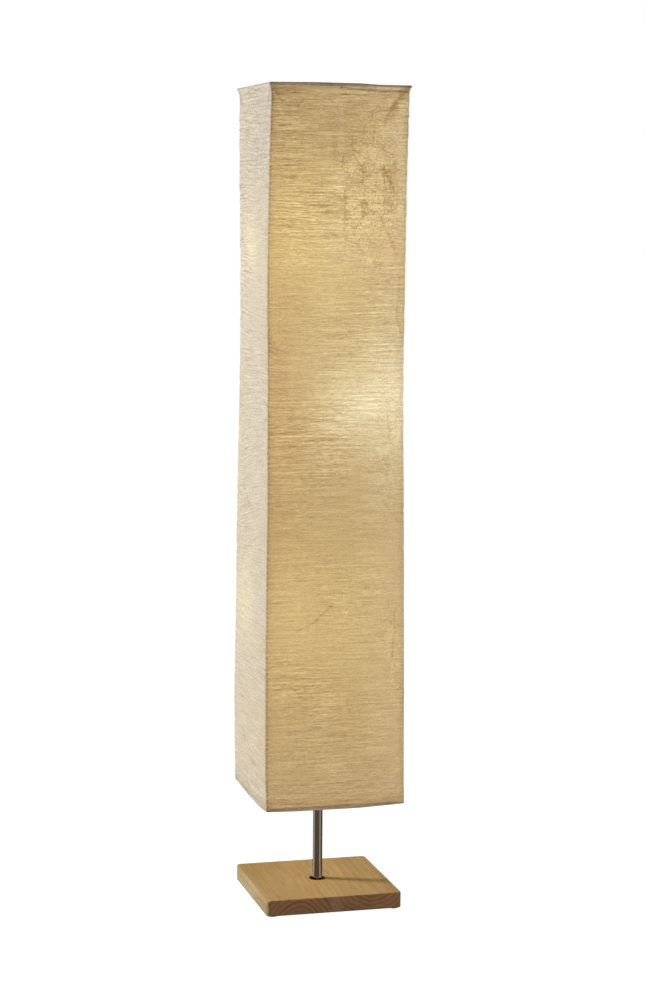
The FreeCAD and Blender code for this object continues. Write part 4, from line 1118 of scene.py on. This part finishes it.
def bulb_finish(light):
    """Frosted glass that shines most about its globe's middle."""
    material, shader = new_finish(f"bulb_glass_{light}")
    low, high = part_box(f"bulb_glass_{light}")
    tall = high.z - low.z
    shine = smooth_step(axes_of()["Z"], low.z + 0.15 * tall, low.z + 0.5 * tall)
    frost = grain(500, 2.0)
    seen = add("LightPath").outputs["Is Camera Ray"]
    strength = plus(BULB_SHINE[light], times(seen, BULB_SEEN - BULB_SHINE[light]))
    plug(shader, {
        "Base Color": mix(frost, (0.44, 0.42, 0.39), (0.5, 0.48, 0.45)),
        "Roughness": 0.35,
        "Emission Color": mix(seen, BULB_LIGHT[light], BULB_WARM),
        "Emission Strength": times(plus(0.25, times(shine, 0.75)), strength),
        "Normal": bump(frost, 0.00004, 0.5)})
    return material


def dress(piece, finish):
    """Gives a solid this finish and no other."""
    piece.data.materials.clear()
    piece.data.materials.append(finish)


for light in ("lower", "middle", "upper"):
    dress(frame["nodes"][f"bulb_glass_{light}"], bulb_finish(light))
print("three bulbs shine")

# %% [markdown]
# ## The light between the paper walls
# Inside the shade the light bounces from wall to wall until the paper glows nearly evenly. Tracing
# that many bounces is slow and grainy, so four flat lights stand just inside the walls, one facing
# each wall, and give the even part of the glow. The bulbs add the bright spots. Light that has
# bounced comes from all sides, also round the wires, so nothing on the lamp stops these lights, and
# each reaches its own wall only. Three more face the hems, where the light leaves the shade. All
# seven ride on the shade's seat: they turn with the walls, and a shade that is lifted off goes dark.

# %% Even out the glow
GLOW_WATTS = {"front": 1.2, "right": 1.2, "back": 1.1, "left": 1.3}
GLOW_COLOUR = (1.0, 0.86, 0.63)
GLOW_SPREAD = radians(100.0)
UNDER_SPREAD = radians(40.0)
GLOW_GAP = 0.022
GLOW_OVER = 0.025
HEM_GAP = 0.007
HEM_PANELS = {"glow_up": (-pi / 2, TOP_WIRE, 0.17, GLOW_SPREAD),
              "glow_down": (pi / 2, BOTTOM_WIRE, 0.05, GLOW_SPREAD),
              "glow_under": (-pi / 2, BOTTOM_WIRE, 0.16, UNDER_SPREAD)}
stoppers = bpy.data.collections.new("stoppers")
stoppers.objects.link(floor)


def glow_panel(name, turn, rise, gap, aim, size, watts, spread, lit):
    """A flat light gap inside the shade, facing aim, that only the sheets in lit receive."""
    panel = soft_box(name, turn, rise, gap, aim, size, watts, GLOW_COLOUR)
    panel.data.spread = spread
    receivers = bpy.data.collections.new(f"lit_by_{name}")
    for sheet in lit:
        receivers.objects.link(sheet)
    panel.light_linking.receiver_collection = receivers
    panel.light_linking.blocker_collection = stoppers
    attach(panel, "shade_seat")


wide = 2 * (SHADE_HALF + GLOW_OVER)
tall = TOP_WIRE - BOTTOM_WIRE + 2 * GLOW_OVER
for wall, (_, outward, _) in WALLS.items():
    aim = (outward[0] * SHADE_HALF, outward[1] * SHADE_HALF, (TOP_WIRE + BOTTOM_WIRE) / 2)
    inward = atan2(-outward[1], -outward[0])
    glow_panel(f"glow_{wall}", inward, 0.0, GLOW_GAP, aim, (wide, tall), GLOW_WATTS[wall], GLOW_SPREAD,
               [walls[wall]])
for name, (rise, height, watts, spread) in HEM_PANELS.items():
    glow_panel(name, 0.0, rise, HEM_GAP, (0, 0, height), (wide, wide), watts, spread, walls.values())
print(len(GLOW_WATTS) + len(HEM_PANELS), "glow panels")

# %% Give every solid its finish
for name, node in frame["nodes"].items():
    if slot_of[name] in finishes:
        dress(node, finishes[slot_of[name]])
plain = sorted(name for name in frame["nodes"] if slot_of[name] not in finishes)
print("finished otherwise:", plain)
